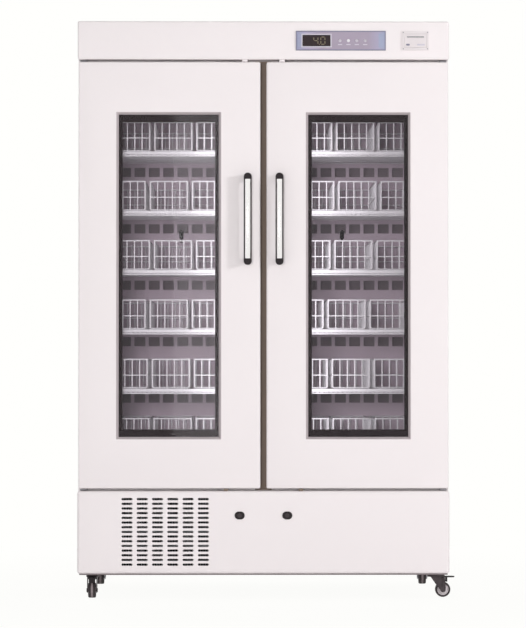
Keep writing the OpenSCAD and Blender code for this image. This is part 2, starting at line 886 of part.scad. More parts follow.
// Bracket in the gap below a door, with its pin up
module hinge_bracket() {
  arm_z = z_lower + (row_gap - bracket_t) / 2;
  leg_h = gasket_inset - 4;
  arm_x0 = pin_x - 14;
  arm_x1 = pin_x + 9;
  block([arm_x0, pin_y - 10, arm_z], [arm_x1, y_flange, arm_z + bracket_t]);
  block([arm_x0, y_flange - bracket_t, arm_z], [arm_x1, y_flange, z_door0 + leg_h]);
  translate([pin_x, pin_y, arm_z]) cylinder(r = pin_r, h = z_door0 + pin_len - arm_z - 1);
}

module hinge_brackets() {
  mid_z = (z_door0 + z_door1) / 2;
  color(steel) both_sides() {
    hinge_bracket();
    translate([0, 0, 2 * mid_z]) mirror([0, 0, 1]) hinge_bracket();
  }
}

// Locks

module lock_body() {
  collar_w = 33;
  collar_h = 26;
  collar_t = 3;
  color(dark) difference() {
    union() {
      face_plate(-collar_t, collar_t) slot2d(collar_w, collar_h);
      rod_y(0, 0, -eps, barrel_d, plug_r + barrel_t);
    }
    rod_y(0, 0, -collar_t - 1, barrel_d + 1, plug_r + run_clear);
  }
}

module lock_bodies() {
  for (s = [-1, 1]) translate([s * lock_x, y_face, lock_z]) lock_body();
}

// Plug with its key slot and the crank behind it
module lock_plug() {
  nose = 3.5;
  key_slot = [1.8, 8, 8];
  crank_end = [crank_r * cos(crank_angle), -crank_r * sin(crank_angle)];
  color(steel) {
    difference() {
      rod_y(0, 0, -nose, crank_y, plug_r);
      translate([-key_slot.x / 2, -nose - 1, -key_slot.z / 2]) cube(key_slot);
    }
    face_plate(crank_y, crank_t) hull() {
      circle(r = 5);
      translate(crank_end) circle(r = 4);
    }
    rod_y(crank_end.x, crank_end.y, crank_y, bolt_y - y_face + 3.5, crank_pin_r);
  }
}

module left_lock_plug() { translate([-lock_x, y_face, lock_z]) lock_plug(); }
module right_lock_plug() { translate([lock_x, y_face, lock_z]) lock_plug(); }

// Bolt with the slotted yoke that the crank pin lifts
module lock_bolt() {
  yoke_t = 5;
  yoke_hw = 8.5;
  yoke_hh = 6;
  slot_hw = crank_r * (1 - cos(crank_angle)) / 2 + crank_pin_r + 0.6;
  slot_hh = crank_pin_r + 0.7;
  pin_drop = crank_r * sin(crank_angle);
  color(steel) translate([bolt_dx, bolt_y - y_face, 0]) {
    face_plate(-yoke_t / 2, yoke_t) translate([0, -pin_drop]) difference() {
      square([2 * yoke_hw, 2 * yoke_hh], center = true);
      square([2 * slot_hw, 2 * slot_hh], center = true);
    }
    translate([0, 0, yoke_hh - pin_drop - 1]) cylinder(r = bolt_r, h = lock_drop + pin_drop - yoke_hh + fit);
  }
}

module left_lock_bolt() { translate([-lock_x, y_face, lock_z]) lock_bolt(); }
module right_lock_bolt() { translate([lock_x, y_face, lock_z]) lock_bolt(); }

// Controls

module control_fascia() {
  boss_d = 8;
  color([0.72, 0.72, 0.78]) difference() {
    union() {
      block([fascia_x - fascia_w / 2, y_face - fascia_t, panel_z - fascia_h / 2],
            [fascia_x + fascia_w / 2, y_face, panel_z + fascia_h / 2]);
      block([fascia_x - fascia_w / 2 + boss_in, y_face, panel_z - fascia_h / 2 + boss_in],
            [fascia_x + fascia_w / 2 - boss_in, y_face + boss_d, panel_z + fascia_h / 2 - boss_in]);
    }
    block([display_x - display_w / 2, y_face - fascia_t - 1, panel_z - display_h / 2],
          [display_x + display_w / 2, y_face + 1, panel_z + display_h / 2]);
    for (k = [0 : 3])
      rod_y(key_x0 + k * key_pitch, panel_z, y_face - fascia_t - 1, y_face + boss_d + 1, key_r + key_clear);
  }
}

module display_window() {
  edge = 0.2;
  glass_t = 4;
  color(dark) block([display_x - display_w / 2 + edge, y_face + 1 - glass_t, panel_z - display_h / 2 + edge],
                    [display_x + display_w / 2 - edge, y_face + 1, panel_z + display_h / 2 - edge]);
}

// Round key, number k from the left
module control_key(k) {
  proud = 1.5;
  key_d = 8;
  key_y = y_face - fascia_t - proud;
  color([0.9, 0.9, 0.92])
    rod_y(key_x0 + k * key_pitch, panel_z, key_y, key_y + key_d, key_r);
}

module set_key() { control_key(0); }
module up_key() { control_key(1); }
module down_key() { control_key(2); }
module mute_key() { control_key(3); }

// Flange with the paper well behind it
module printer_body() {
  pin_hole = cover_pin_r + run_clear;
  color(white) difference() {
    union() {
      block([printer_x - printer_w / 2, y_face - flange_t, panel_z - printer_h / 2],
            [printer_x + printer_w / 2, y_face, panel_z + printer_h / 2]);
      block([printer_x - well_hw - well_t, y_face - 1, panel_z - well_hh - well_t],
            [printer_x + well_hw + well_t, y_face + well_d, panel_z + well_hh + well_t]);
    }
    block([printer_x - well_hw, y_face - flange_t - 1, panel_z - well_hh],
          [printer_x + well_hw, y_face + well_d - well_t, panel_z + well_hh]);
    rod_x(cover_hinge_y, cover_hinge_z, printer_x - well_hw - cover_pin_len,
          printer_x + well_hw + cover_pin_len, pin_hole);
  }
}

// Paper cover, hinged along its rounded lower edge
module printer_cover() {
  half_w = cover_w / 2;
  slot_hw = half_w - 8;
  slot_z = panel_z + cover_h / 2 - 12;
  color(white) {
    difference() {
      union() {
        block([printer_x - half_w, y_face - flange_t, cover_hinge_z],
              [printer_x + half_w, y_face, panel_z + cover_h / 2]);
        rod_x(cover_hinge_y, cover_hinge_z, printer_x - half_w, printer_x + half_w, flange_t / 2);
      }
      block([printer_x - slot_hw, y_face - flange_t - 1, slot_z],
            [printer_x + slot_hw, y_face + 1, slot_z + 3]);
    }
    rod_x(cover_hinge_y, cover_hinge_z, printer_x - half_w - cover_pin_len + fit,
          printer_x + half_w + cover_pin_len - fit, cover_pin_r);
  }
}

// Casters, drawn with the swivel axis on Z and the wheel trailing along +X

module caster_plate() {
  plate_hw = 31;
  hole_at = 23;
  hole_r = 4;
  race_r = 22;
  washer_r = 8;
  washer_t = 3;
  difference() {
    union() {
      block([-plate_hw, -plate_hw, caster_h - caster_plate_t], [plate_hw, plate_hw, caster_h]);
      translate([0, 0, race_z]) cylinder(r = race_r, h = caster_h - race_z - 1);
    }
    for (sx = [-1, 1], sy = [-1, 1])
      translate([sx * hole_at, sy * hole_at, caster_h - caster_plate_t - 1])
        cylinder(r = hole_r, h = caster_plate_t + 2);
  }
  translate([0, 0, crown_z - washer_t - 1]) {
    cylinder(r = kingpin_r, h = caster_h - crown_z);
    cylinder(r = washer_r, h = washer_t);
  }
}

module caster_fork() {
  out = fork_in + fork_t;
  rear = -14;
  front = 36;
  crown_r = 21;
  boss_r = 9;
  nut_t = 2;
  pedal_cut = 22;
  color(dark) difference() {
    union() {
      translate([0, 0, crown_z]) cylinder(r = crown_r, h = crown_t);
      block([rear, -out, crown_z], [front, out, crown_top - 1]);
      for (y = [fork_in, -out])
        face_plate(y, fork_t) {
          polygon([[rear, crown_top - 1], [front, crown_top - 1], [trail + boss_r, wheel_r + 3],
                   [trail - boss_r + fit, wheel_r - 3]]);
          translate([trail, wheel_r]) circle(r = boss_r);
        }
      rod_y(trail, wheel_r, -out - nut_t, out + nut_t, axle_r);
      for (y = [-out - nut_t, out]) rod_y(trail, wheel_r, y, y + nut_t, axle_r + 2.5);
    }
    translate([0, 0, crown_z - 1]) cylinder(r = kingpin_r + run_clear, h = crown_t + 2);
    block([pedal_cut, -fork_in, crown_z - 1], [front + 1, fork_in, crown_top + 1]);
    rod_y(pedal_u, pedal_z, -out - 1, out + 1, pedal_pin_r + run_clear);
  }
}

module caster_wheel() {
  tread_round = 4;
  bore_r = axle_r + run_clear;
  hub_r = 9;
  rim_r = wheel_r - 7;
  recess = 3;
  color(dark) translate([trail, wheel_w / 2, wheel_r]) rotate([90, 0, 0]) rotate_extrude() difference() {
    union() {
      rect2d(bore_r, 0, wheel_r - tread_round, wheel_w);
      rect2d(bore_r, tread_round, wheel_r, wheel_w - tread_round);
      for (z = [tread_round, wheel_w - tread_round])
        translate([wheel_r - tread_round, z]) circle(r = tread_round);
    }
    rect2d(hub_r, -1, rim_r, recess);
    rect2d(hub_r, wheel_w - recess, rim_r, wheel_w + 1);
  }
}

// Brake pedal between the fork's legs, with a shoe above the wheel
module brake_pedal() {
  bush_r = 5;
  plate_t = 4;
  narrow = fork_in - 1.5;
  wide = 14;
  out = fork_in + fork_t;
  shoe_u = trail + 12;
  shoe_z = wheel_r + sqrt(pow(wheel_r, 2) - pow(shoe_u - trail - 2, 2)) + 2.6;
  color(dark) {
    rod_y(pedal_u, pedal_z, -narrow, narrow, bush_r);
    rod_y(pedal_u, pedal_z, -out, out, pedal_pin_r);
    block([pedal_u, -narrow, pedal_z], [pedal_reach - 14, narrow, pedal_z + plate_t]);
    block([trail + 17, -wide, pedal_z], [pedal_reach - wide, wide, pedal_z + plate_t]);
    translate([pedal_reach - wide, 0, pedal_z]) cylinder(r = wide, h = plate_t);
    block([shoe_u - 3, -narrow + 2, shoe_z], [shoe_u + 3, narrow - 2, pedal_z + 1]);
  }
}

// Place of one caster, and the way its wheel trails
module at_caster(side, y, turn) {
  translate([side * caster_x, y, 0]) rotate(turn) children();
}

module caster_plates() {
  color(steel) for (s = [-1, 1], y = [caster_y0, caster_y1]) at_caster(s, y, 0) caster_plate();
}

module front_left_fork() { at_caster(-1, caster_y0, -90) caster_fork(); }
module front_right_fork() { at_caster(1, caster_y0, 0) caster_fork(); }
module rear_left_fork() { at_caster(-1, caster_y1, -90) caster_fork(); }
module rear_right_fork() { at_caster(1, caster_y1, -90) caster_fork(); }
module front_left_wheel() { at_caster(-1, caster_y0, -90) caster_wheel(); }
module front_right_wheel() { at_caster(1, caster_y0, 0) caster_wheel(); }
module rear_left_wheel() { at_caster(-1, caster_y1, -90) caster_wheel(); }
module rear_right_wheel() { at_caster(1, caster_y1, -90) caster_wheel(); }
module front_left_brake() { at_caster(-1, caster_y0, -90) brake_pedal(); }
module front_right_brake() { at_caster(1, caster_y0, 0) brake_pedal(); }

side_panels();
top_panel();
back_panel();
machine_rear_cover();
insulation();
inner_liner();
front_frame();
center_mullion();
header_cover();
lower_front_cover();
base_frame();
compressor();
condenser();
condenser_fan_shroud();
condenser_fan();
air_duct_panel();
evaporator();
evaporator_fan();
probe_holders();
shelf_supports();
shelves();
left_baskets();
right_baskets();
control_fascia();
display_window();
set_key();
up_key();
down_key();
mute_key();
printer_body();
printer_cover();
lock_bodies();
left_lock_plug();
right_lock_plug();
left_lock_bolt();
right_lock_bolt();
hinge_brackets();
caster_plates();
front_left_fork();
front_right_fork();
rear_left_fork();
rear_right_fork();
front_left_wheel();
front_right_wheel();
rear_left_wheel();
rear_right_wheel();
front_left_brake();
front_right_brake();
left_door_shell();
right_door_shell();
left_door_core();
right_door_core();
left_window_frame();
right_window_frame();
left_door_glass();
right_door_glass();
left_door_gasket();
right_door_gasket();
left_door_handle();
right_door_handle();
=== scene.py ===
"""Looks of an upright two-door cold cabinet with glazed doors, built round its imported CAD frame."""

import functools
import math

import bpy
from bpy.props import FloatProperty, FloatVectorProperty, IntProperty, PointerProperty
from mathutils import Matrix, Vector


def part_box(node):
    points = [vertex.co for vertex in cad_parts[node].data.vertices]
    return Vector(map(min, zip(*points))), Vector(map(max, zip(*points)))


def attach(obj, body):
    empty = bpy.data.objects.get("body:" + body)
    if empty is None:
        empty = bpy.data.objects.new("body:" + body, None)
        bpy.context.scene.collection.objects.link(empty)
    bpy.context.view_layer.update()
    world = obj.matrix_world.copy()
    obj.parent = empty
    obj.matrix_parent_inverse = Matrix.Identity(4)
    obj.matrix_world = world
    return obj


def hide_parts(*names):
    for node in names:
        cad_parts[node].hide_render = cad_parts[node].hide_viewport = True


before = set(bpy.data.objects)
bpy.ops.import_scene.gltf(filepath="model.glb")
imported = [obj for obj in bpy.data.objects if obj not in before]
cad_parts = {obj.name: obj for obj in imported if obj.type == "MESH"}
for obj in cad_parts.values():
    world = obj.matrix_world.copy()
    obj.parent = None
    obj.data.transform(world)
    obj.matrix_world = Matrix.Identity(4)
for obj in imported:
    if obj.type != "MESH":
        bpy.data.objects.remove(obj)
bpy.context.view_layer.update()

bl_info = {
    "name": "Glazed cold cabinet",
    "version": (1, 0, 0),
    "blender": (4, 5, 0),
    "location": "3D View > Sidebar > Cabinet",
    "description": "Dresses the packed cabinet with covers, doors, wire goods, controls, casters and a stage",
    "category": "Object",
}

# Where the frame's main planes lie, in metres
HALF_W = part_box("side_panels")[1].x
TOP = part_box("top_panel")[1].z
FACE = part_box("right_door_shell")[0].y
DOOR_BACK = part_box("right_door_shell")[1].y
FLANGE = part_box("side_panels")[0].y
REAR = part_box("back_panel")[1].y
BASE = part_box("side_panels")[0].z
LOWER_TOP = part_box("front_frame")[0].z
HEADER_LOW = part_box("front_frame")[1].z
SIDES = {"left": -1, "right": 1}
# Levels of shelves and their distance
LEVELS, LEVEL_STEP = 6, 0.197
# Points nearer than this are one; cutting tools pass a front face and a sheet's edge by these lengths
NEAR, REACH, DIP = 1e-5, 0.01, 0.005


def srgb(code):
    """A hex colour as linear RGBA."""
    parts = [int(code[i : i + 2], 16) / 255 for i in (1, 3, 5)]
    return tuple(c / 12.92 if c <= 0.04045 else ((c + 0.055) / 1.055) ** 2.4 for c in parts) + (1.0,)


def length(name, description, metres):
    """A length setting in metres."""
    return FloatProperty(name=name, description=description, default=metres, min=0.0, unit="LENGTH", precision=5)


def power(name, description, watts):
    """A lamp's power setting."""
    return FloatProperty(name=name, description=description, default=watts, unit="POWER")


def tint(name, description, code):
    """A colour setting."""
    return FloatVectorProperty(
        name=name, description=description, default=srgb(code), size=4, min=0.0, max=1.0, subtype="COLOR"
    )


# Settings


class CabinetSizes(bpy.types.PropertyGroup):
    """Sizes that the CAD frame doesn't set"""

    fold: length("Fold radius", "Rounding of folded sheet edges", 0.006)
    sheet: length("Sheet thickness", "Thickness of the painted sheet", 0.0015)
    bevel: length("Window bevel", "Width of the grey bevel round a window", 0.008)
    bevel_depth: length("Bevel depth", "How far the bevel leads down to the glass", 0.009)
    border_side: length("Border at the sides", "Black border beside the clear glass", 0.012)
    border_end: length("Border at the ends", "Black border above and below the clear glass", 0.024)
    rim_wire: length("Rim wire", "Radius of a basket's rim wire", 0.0027)
    mesh_wire: length("Mesh wire", "Radius of the thin wires of baskets and shelves", 0.0017)
    basket_w: length("Basket width", "Width of a basket", 0.128)
    basket_h: length("Basket height", "Height of a basket", 0.100)
    grille_columns: IntProperty(name="Grille columns", description="Slots side by side", default=6, min=1)
    grille_rows: IntProperty(name="Grille rows", description="Slots above each other", default=15, min=1)
    slot_w: length("Slot length", "Length of a grille slot", 0.0355)
    slot_h: length("Slot height", "Height of a grille slot", 0.0075)


class CabinetColours(bpy.types.PropertyGroup):
    """Colours of the main finishes"""

    paint: tint("Paint", "Powder coat of the cabinet and the doors", "#F1EBEC")
    liner: tint("Liner", "Steel inside the cabinet", "#D8C7D2")
    wire: tint("Wire", "Plastic coat of shelves and baskets", "#F3F0F3")
    mullion: tint("Mullion", "Strip behind the gap between the doors", "#8A7B6F")
    bevel: tint("Bevel", "Grey bevel round a window", "#C2B8BB")
    fascia: tint("Fascia", "Film on the control panel", "#A59AAB")
    tyre: tint("Tyre", "Rubber of the casters", "#2E2829")


class CabinetStage(bpy.types.PropertyGroup):
    """Camera and light"""

    distance: length("Camera distance", "Camera to the doors' front", 10.0)
    eye: length("Camera height", "Height of the camera above the floor", 0.756)
    aim: length("Aim height", "Height that the middle of the picture shows", 0.934)
    field: length("Field", "Width that the picture shows at the doors' front", 1.725)
    key: power("Key light", "Power of the soft lamp at the right", 119.0)
    front: power("Front light", "Power of the lamp by the camera", 325.0)
    rear: power("Rear lights", "Power of each lamp behind the cabinet", 150.0)
    cabin: power("Cabin light", "Power of each lamp behind a window", 0.54)
    sky: FloatProperty(name="Sky", description="Strength of the light from all round", default=0.38)


# Modelling helpers


def alone(obj=None):
    """Leaves edit mode and makes this object the only selected one."""
    if bpy.context.object and bpy.context.object.mode != "OBJECT":
        bpy.ops.object.mode_set(mode="OBJECT")
    bpy.ops.object.select_all(action="DESELECT")
    bpy.context.view_layer.objects.active = obj
    if obj:
        obj.select_set(True)


def added(name, data):
    """A new object, alone and selected."""
    obj = bpy.data.objects.new(name, data)
    bpy.context.collection.objects.link(obj)
    alone(obj)
    return obj


def edit_all():
    """Enters edit mode with everything selected."""
    bpy.ops.object.mode_set(mode="EDIT")
    bpy.ops.mesh.select_all(action="SELECT")


def placed(name):
    """Names the new object and puts its place into its mesh."""
    obj = bpy.context.object
    obj.name = obj.data.name = name
    bpy.ops.object.transform_apply(location=True, rotation=True, scale=True)
    return obj


def block(name, lo, hi):
    """A box between two corners."""
    alone()
    lo, hi = Vector(lo), Vector(hi)
    bpy.ops.mesh.primitive_cube_add(size=1, location=(lo + hi) / 2, scale=hi - lo)
    return placed(name)


def slab(name, x, z, width, height, front, back):
    """A box round a point, seen from the front, between two depths."""
    return block(name, (x - width / 2, front, z - height / 2), (x + width / 2, back, z + height / 2))


def rod(name, start, end, radius, sides=8):
    """A round bar between two points."""
    alone()
    start, end = Vector(start), Vector(end)
    mid, along = (start + end) / 2, end - start
    turn = along.to_track_quat("Z", "Y").to_euler()
    bpy.ops.mesh.primitive_cylinder_add(
        vertices=sides, radius=radius, depth=along.length, location=mid, rotation=turn
    )
    return placed(name)


def drill(x, y, z, radius, sides=20):
    """A tool that cuts an upright hole through a sheet's edge."""
    return rod("tool", (x, y, z - DIP), (x, y, z + DIP), radius, sides)


def pick(obj, kind, test):
    """Enters edit mode with only those faces or edges selected whose corners pass the test."""
    alone(obj)
    bpy.ops.object.mode_set(mode="EDIT")
    bpy.ops.mesh.select_mode(type=kind)
    bpy.ops.mesh.select_all(action="DESELECT")
    bpy.ops.object.mode_set(mode="OBJECT")
    points = obj.data.vertices
    for item in obj.data.polygons if kind == "FACE" else obj.data.edges:
        item.select = test([points[i].co for i in item.vertices])
    bpy.ops.object.mode_set(mode="EDIT")


def level(axis, value):
    """A test that all corners lie at this height along an axis."""
    return lambda corners: all(abs(c[axis] - value) < NEAR for c in corners)


def runs(axis):
    """A test that an edge of a box runs along an axis."""
    return lambda corners: abs(corners[0][axis] - corners[1][axis]) > NEAR


def middle(name):
    """Middle of a CAD node's box."""
    lo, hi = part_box(name)
    return (lo + hi) / 2


def eased(obj, test, offset, segments):
    """Bevels the edges that pass the test."""
    pick(obj, "EDGE", test)
    bpy.ops.mesh.bevel(offset=offset, segments=segments, affect="EDGES")
    alone(obj)
    return obj


def modify(obj, kind, **settings):
    """Adds a modifier and applies it."""
    alone(obj)
    modifier = obj.modifiers.new(kind.title(), kind)
    for name, value in settings.items():
        setattr(modifier, name, value)
    bpy.ops.object.modifier_apply(modifier=modifier.name)
    return obj


def soften(obj, radius, segments=2, angle=40):
    """Rounds the sharp edges."""
    limit = math.radians(angle)
    return modify(obj, "BEVEL", width=radius, segments=segments, limit_method="ANGLE", angle_limit=limit)


def repeat(obj, count, step):
    """A row of copies at equal steps."""
    offset = {"use_relative_offset": False, "use_constant_offset": True, "constant_offset_displace": step}
    return modify(obj, "ARRAY", count=count, **offset)


def cut(obj, *tools):
    """Takes the tools' shapes out of an object."""
    for tool in tools:
        modify(obj, "BOOLEAN", operation="DIFFERENCE", solver="EXACT", object=tool)
        bpy.data.objects.remove(tool)
    return obj


def joined(name, parts):
    """Several objects as one."""
    alone(parts[0])
    for part in parts:
        part.select_set(True)
    bpy.ops.object.join()
    parts[0].name = parts[0].data.name = name
    return parts[0]


def copied(obj, name, move=(0, 0, 0), mirror=False):
    """A copy with its own mesh, moved or mirrored across the middle."""
    alone(obj)
    bpy.ops.object.duplicate()
    twin = bpy.context.object
    twin.name = twin.data.name = name
    twin.data.transform(Matrix.Translation(move))
    if mirror:
        twin.data.transform(Matrix.Scale(-1, 4, (1, 0, 0)))
        twin.data.flip_normals()
    return twin


def pair(obj, name):
    """A piece of the right side and its mirrored copy."""
    return {"right": obj, "left": copied(obj, name, mirror=True)}.items()


def from_node(cad, name, radius):
    """A copy of a CAD node with its triangles joined to whole faces and its edges rounded."""
    obj = added(name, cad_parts[cad].data.copy())
    obj.data.name = name
    bpy.ops.mesh.customdata_custom_splitnormals_clear()
    edit_all()
    bpy.ops.mesh.remove_doubles(threshold=NEAR)
    bpy.ops.mesh.dissolve_limited(angle_limit=math.radians(0.5))
    return soften(obj, radius)


def tray(name, lo, hi, fold, sheet):
    """A folded sheet-metal tray, open at the back, with rounded front edges."""
    obj = block(name, lo, hi)
    pick(obj, "FACE", level(1, hi[1]))
    bpy.ops.mesh.delete(type="FACE")
    eased(obj, lambda corners: any(abs(c.y - lo[1]) < NEAR for c in corners), fold, 4)
    return modify(obj, "SOLIDIFY", thickness=sheet, offset=-1.0, use_even_offset=True)


def inside(box, side, end, front, back):
    """Corners of a block over a box, drawn in at its sides and ends."""
    lo, hi = box
    return (lo.x + side, front, lo.z + end), (hi.x - side, back, hi.z - end)


def frame_block(name, lo, hi, side, end):
    """A rectangular ring between two corners, seen along Y, with its own width at the sides and ends."""
    inner = block("tool", (lo[0] + side, lo[1] - 1, lo[2] + end), (hi[0] - side, hi[1] + 1, hi[2] - end))
    return cut(block(name, lo, hi), inner)


def turned(name, profile, base, axis, steps=32):
    """A lathe-turned piece: (radius, height) points spun round an axis that starts at base."""
    mesh = bpy.data.meshes.new(name)
    mesh.from_pydata([(r, 0, h) for r, h in profile], [(i, i + 1) for i in range(len(profile) - 1)], [])
    obj = added(name, mesh)
    edit_all()
    bpy.ops.mesh.spin(steps=steps, angle=math.tau, center=(0, 0, 0), axis=(0, 0, 1))
    bpy.ops.mesh.select_all(action="SELECT")
    bpy.ops.mesh.remove_doubles(threshold=NEAR)
    bpy.ops.mesh.normals_make_consistent(inside=False)
    bpy.ops.object.mode_set(mode="OBJECT")
    mesh.transform(Matrix.Translation(base) @ Vector(axis).to_track_quat("Z", "Y").to_matrix().to_4x4())
    return obj


def rounded(points, radius, closed=True, steps=4):
    """A path with its right-angled corners rounded."""
    path, count = [], len(points)
    points = [Vector(p) for p in points]
    for i, corner in enumerate(points):
        if not closed and i in (0, count - 1):
            path.append(corner)
            continue
        back = (points[i - 1] - corner).normalized()
        ahead = (points[(i + 1) % count] - corner).normalized()
        for k in range(steps + 1):
            t = math.pi / 2 * k / steps
            path.append(corner + radius * (back * (1 - math.sin(t)) + ahead * (1 - math.cos(t))))
    return path


def wire(name, path, radius, closed=False, square=False):
    """A round or square-edged wire along a path."""
    line = bpy.data.curves.new(name, "CURVE")
    line.dimensions, line.twist_mode = "3D", "MINIMUM"
    line.bevel_depth, line.bevel_resolution, line.use_fill_caps = radius, 0 if square else 1, not closed
    spline = line.splines.new("POLY")
    spline.points.add(len(path) - 1)
    for point, place in zip(spline.points, path):
        point.co = (*place, 1)
        point.tilt = math.pi / 4 if square else 0
    spline.use_cyclic_u = closed
    added(name, line)
    bpy.ops.object.convert(target="MESH")
    bpy.data.curves.remove(line)
    return bpy.context.object


def dressed(obj, look, body, slot, *nodes, angle=35):
    """Gives a piece its shading, finish, body and the CAD nodes it stands for."""
    alone(obj)
    bpy.ops.object.shade_smooth_by_angle(angle=math.radians(angle))
    obj.data.materials.clear()
    obj.data.materials.append(finish(look))
    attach(obj, body)
    if nodes:
        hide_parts(*nodes)
    return obj


# Finishes


def link(target, inputs):
    """Sets or links the inputs of a node."""
    for name, value in inputs.items():
        if isinstance(value, bpy.types.NodeSocket):
            target.id_data.links.new(value, target.inputs[name])
        else:
            target.inputs[name].default_value = value


def node(tree, kind, inputs=None, output=0, **settings):
    """Adds a shader node with its settings and inputs, and returns one of its outputs."""
    new = tree.nodes.new("ShaderNode" + kind)
    for name, value in settings.items():
        setattr(new, name, value)
    link(new, inputs or {})
    return new.outputs[output]


def rays(tree, *kinds):
    """A socket that is 1 for rays of these kinds."""
    path = node(tree, "LightPath").node.outputs
    found, *others = (path[f"Is {kind} Ray"] for kind in kinds)
    for socket in others:
        found = node(tree, "Math", {0: found, 1: socket}, operation="MAXIMUM")
    return found


def mixed(tree, share, first, second, output="Material Output"):
    """Makes a mix of two shaders the surface of a tree."""
    link(tree.nodes[output], {"Surface": node(tree, "MixShader", {0: share, 1: first, 2: second})})


def blank(name, **sockets):
    """A new material with its tree, shader and the piece's own coordinates."""
    material = bpy.data.materials.new(name)
    material.use_nodes = True
    tree = material.node_tree
    shader = tree.nodes["Principled BSDF"]
    link(shader, {socket.replace("_", " "): value for socket, value in sockets.items()})
    return material, tree, shader, node(tree, "TexCoord", output="Object")


def surface(name, light, dark, rough, grain, relief, patch, metal=0.0, stretch=(1, 1, 1), spread=0.06, **sockets):
    """A finish with slow changes of tone, uneven gloss and a fine relief.

    light and dark are its two tones, grain and patch the sizes of relief and tone changes in millimetres,
    relief the depth of the bumps, and stretch draws the grain out along an axis.
    """
    material, tree, shader, place = blank(name, Metallic=metal, **sockets)
    drawn = node(tree, "Mapping", {"Vector": place, "Scale": stretch})
    clouds = node(tree, "TexNoise", {"Vector": drawn, "Scale": 1000 / patch, "Detail": 3.0})
    grains = node(tree, "TexNoise", {"Vector": drawn, "Scale": 1000 / grain, "Detail": 2.0})
    tone = node(tree, "MixRGB", {"Fac": clouds, "Color1": light, "Color2": dark})
    gloss = node(tree, "MapRange", {"Value": grains, "To Min": max(rough - spread, 0.02), "To Max": rough + spread})
    bump = node(tree, "Bump", {"Height": grains, "Strength": 0.6, "Distance": relief / 1000})
    link(shader, {"Base Color": tone, "Roughness": gloss, "Normal": bump})
    return material


def shade(colour, factor):
    """A darker or lighter tone of a linear colour."""
    return tuple(min(c * factor, 1.0) for c in colour[:3]) + (1.0,)


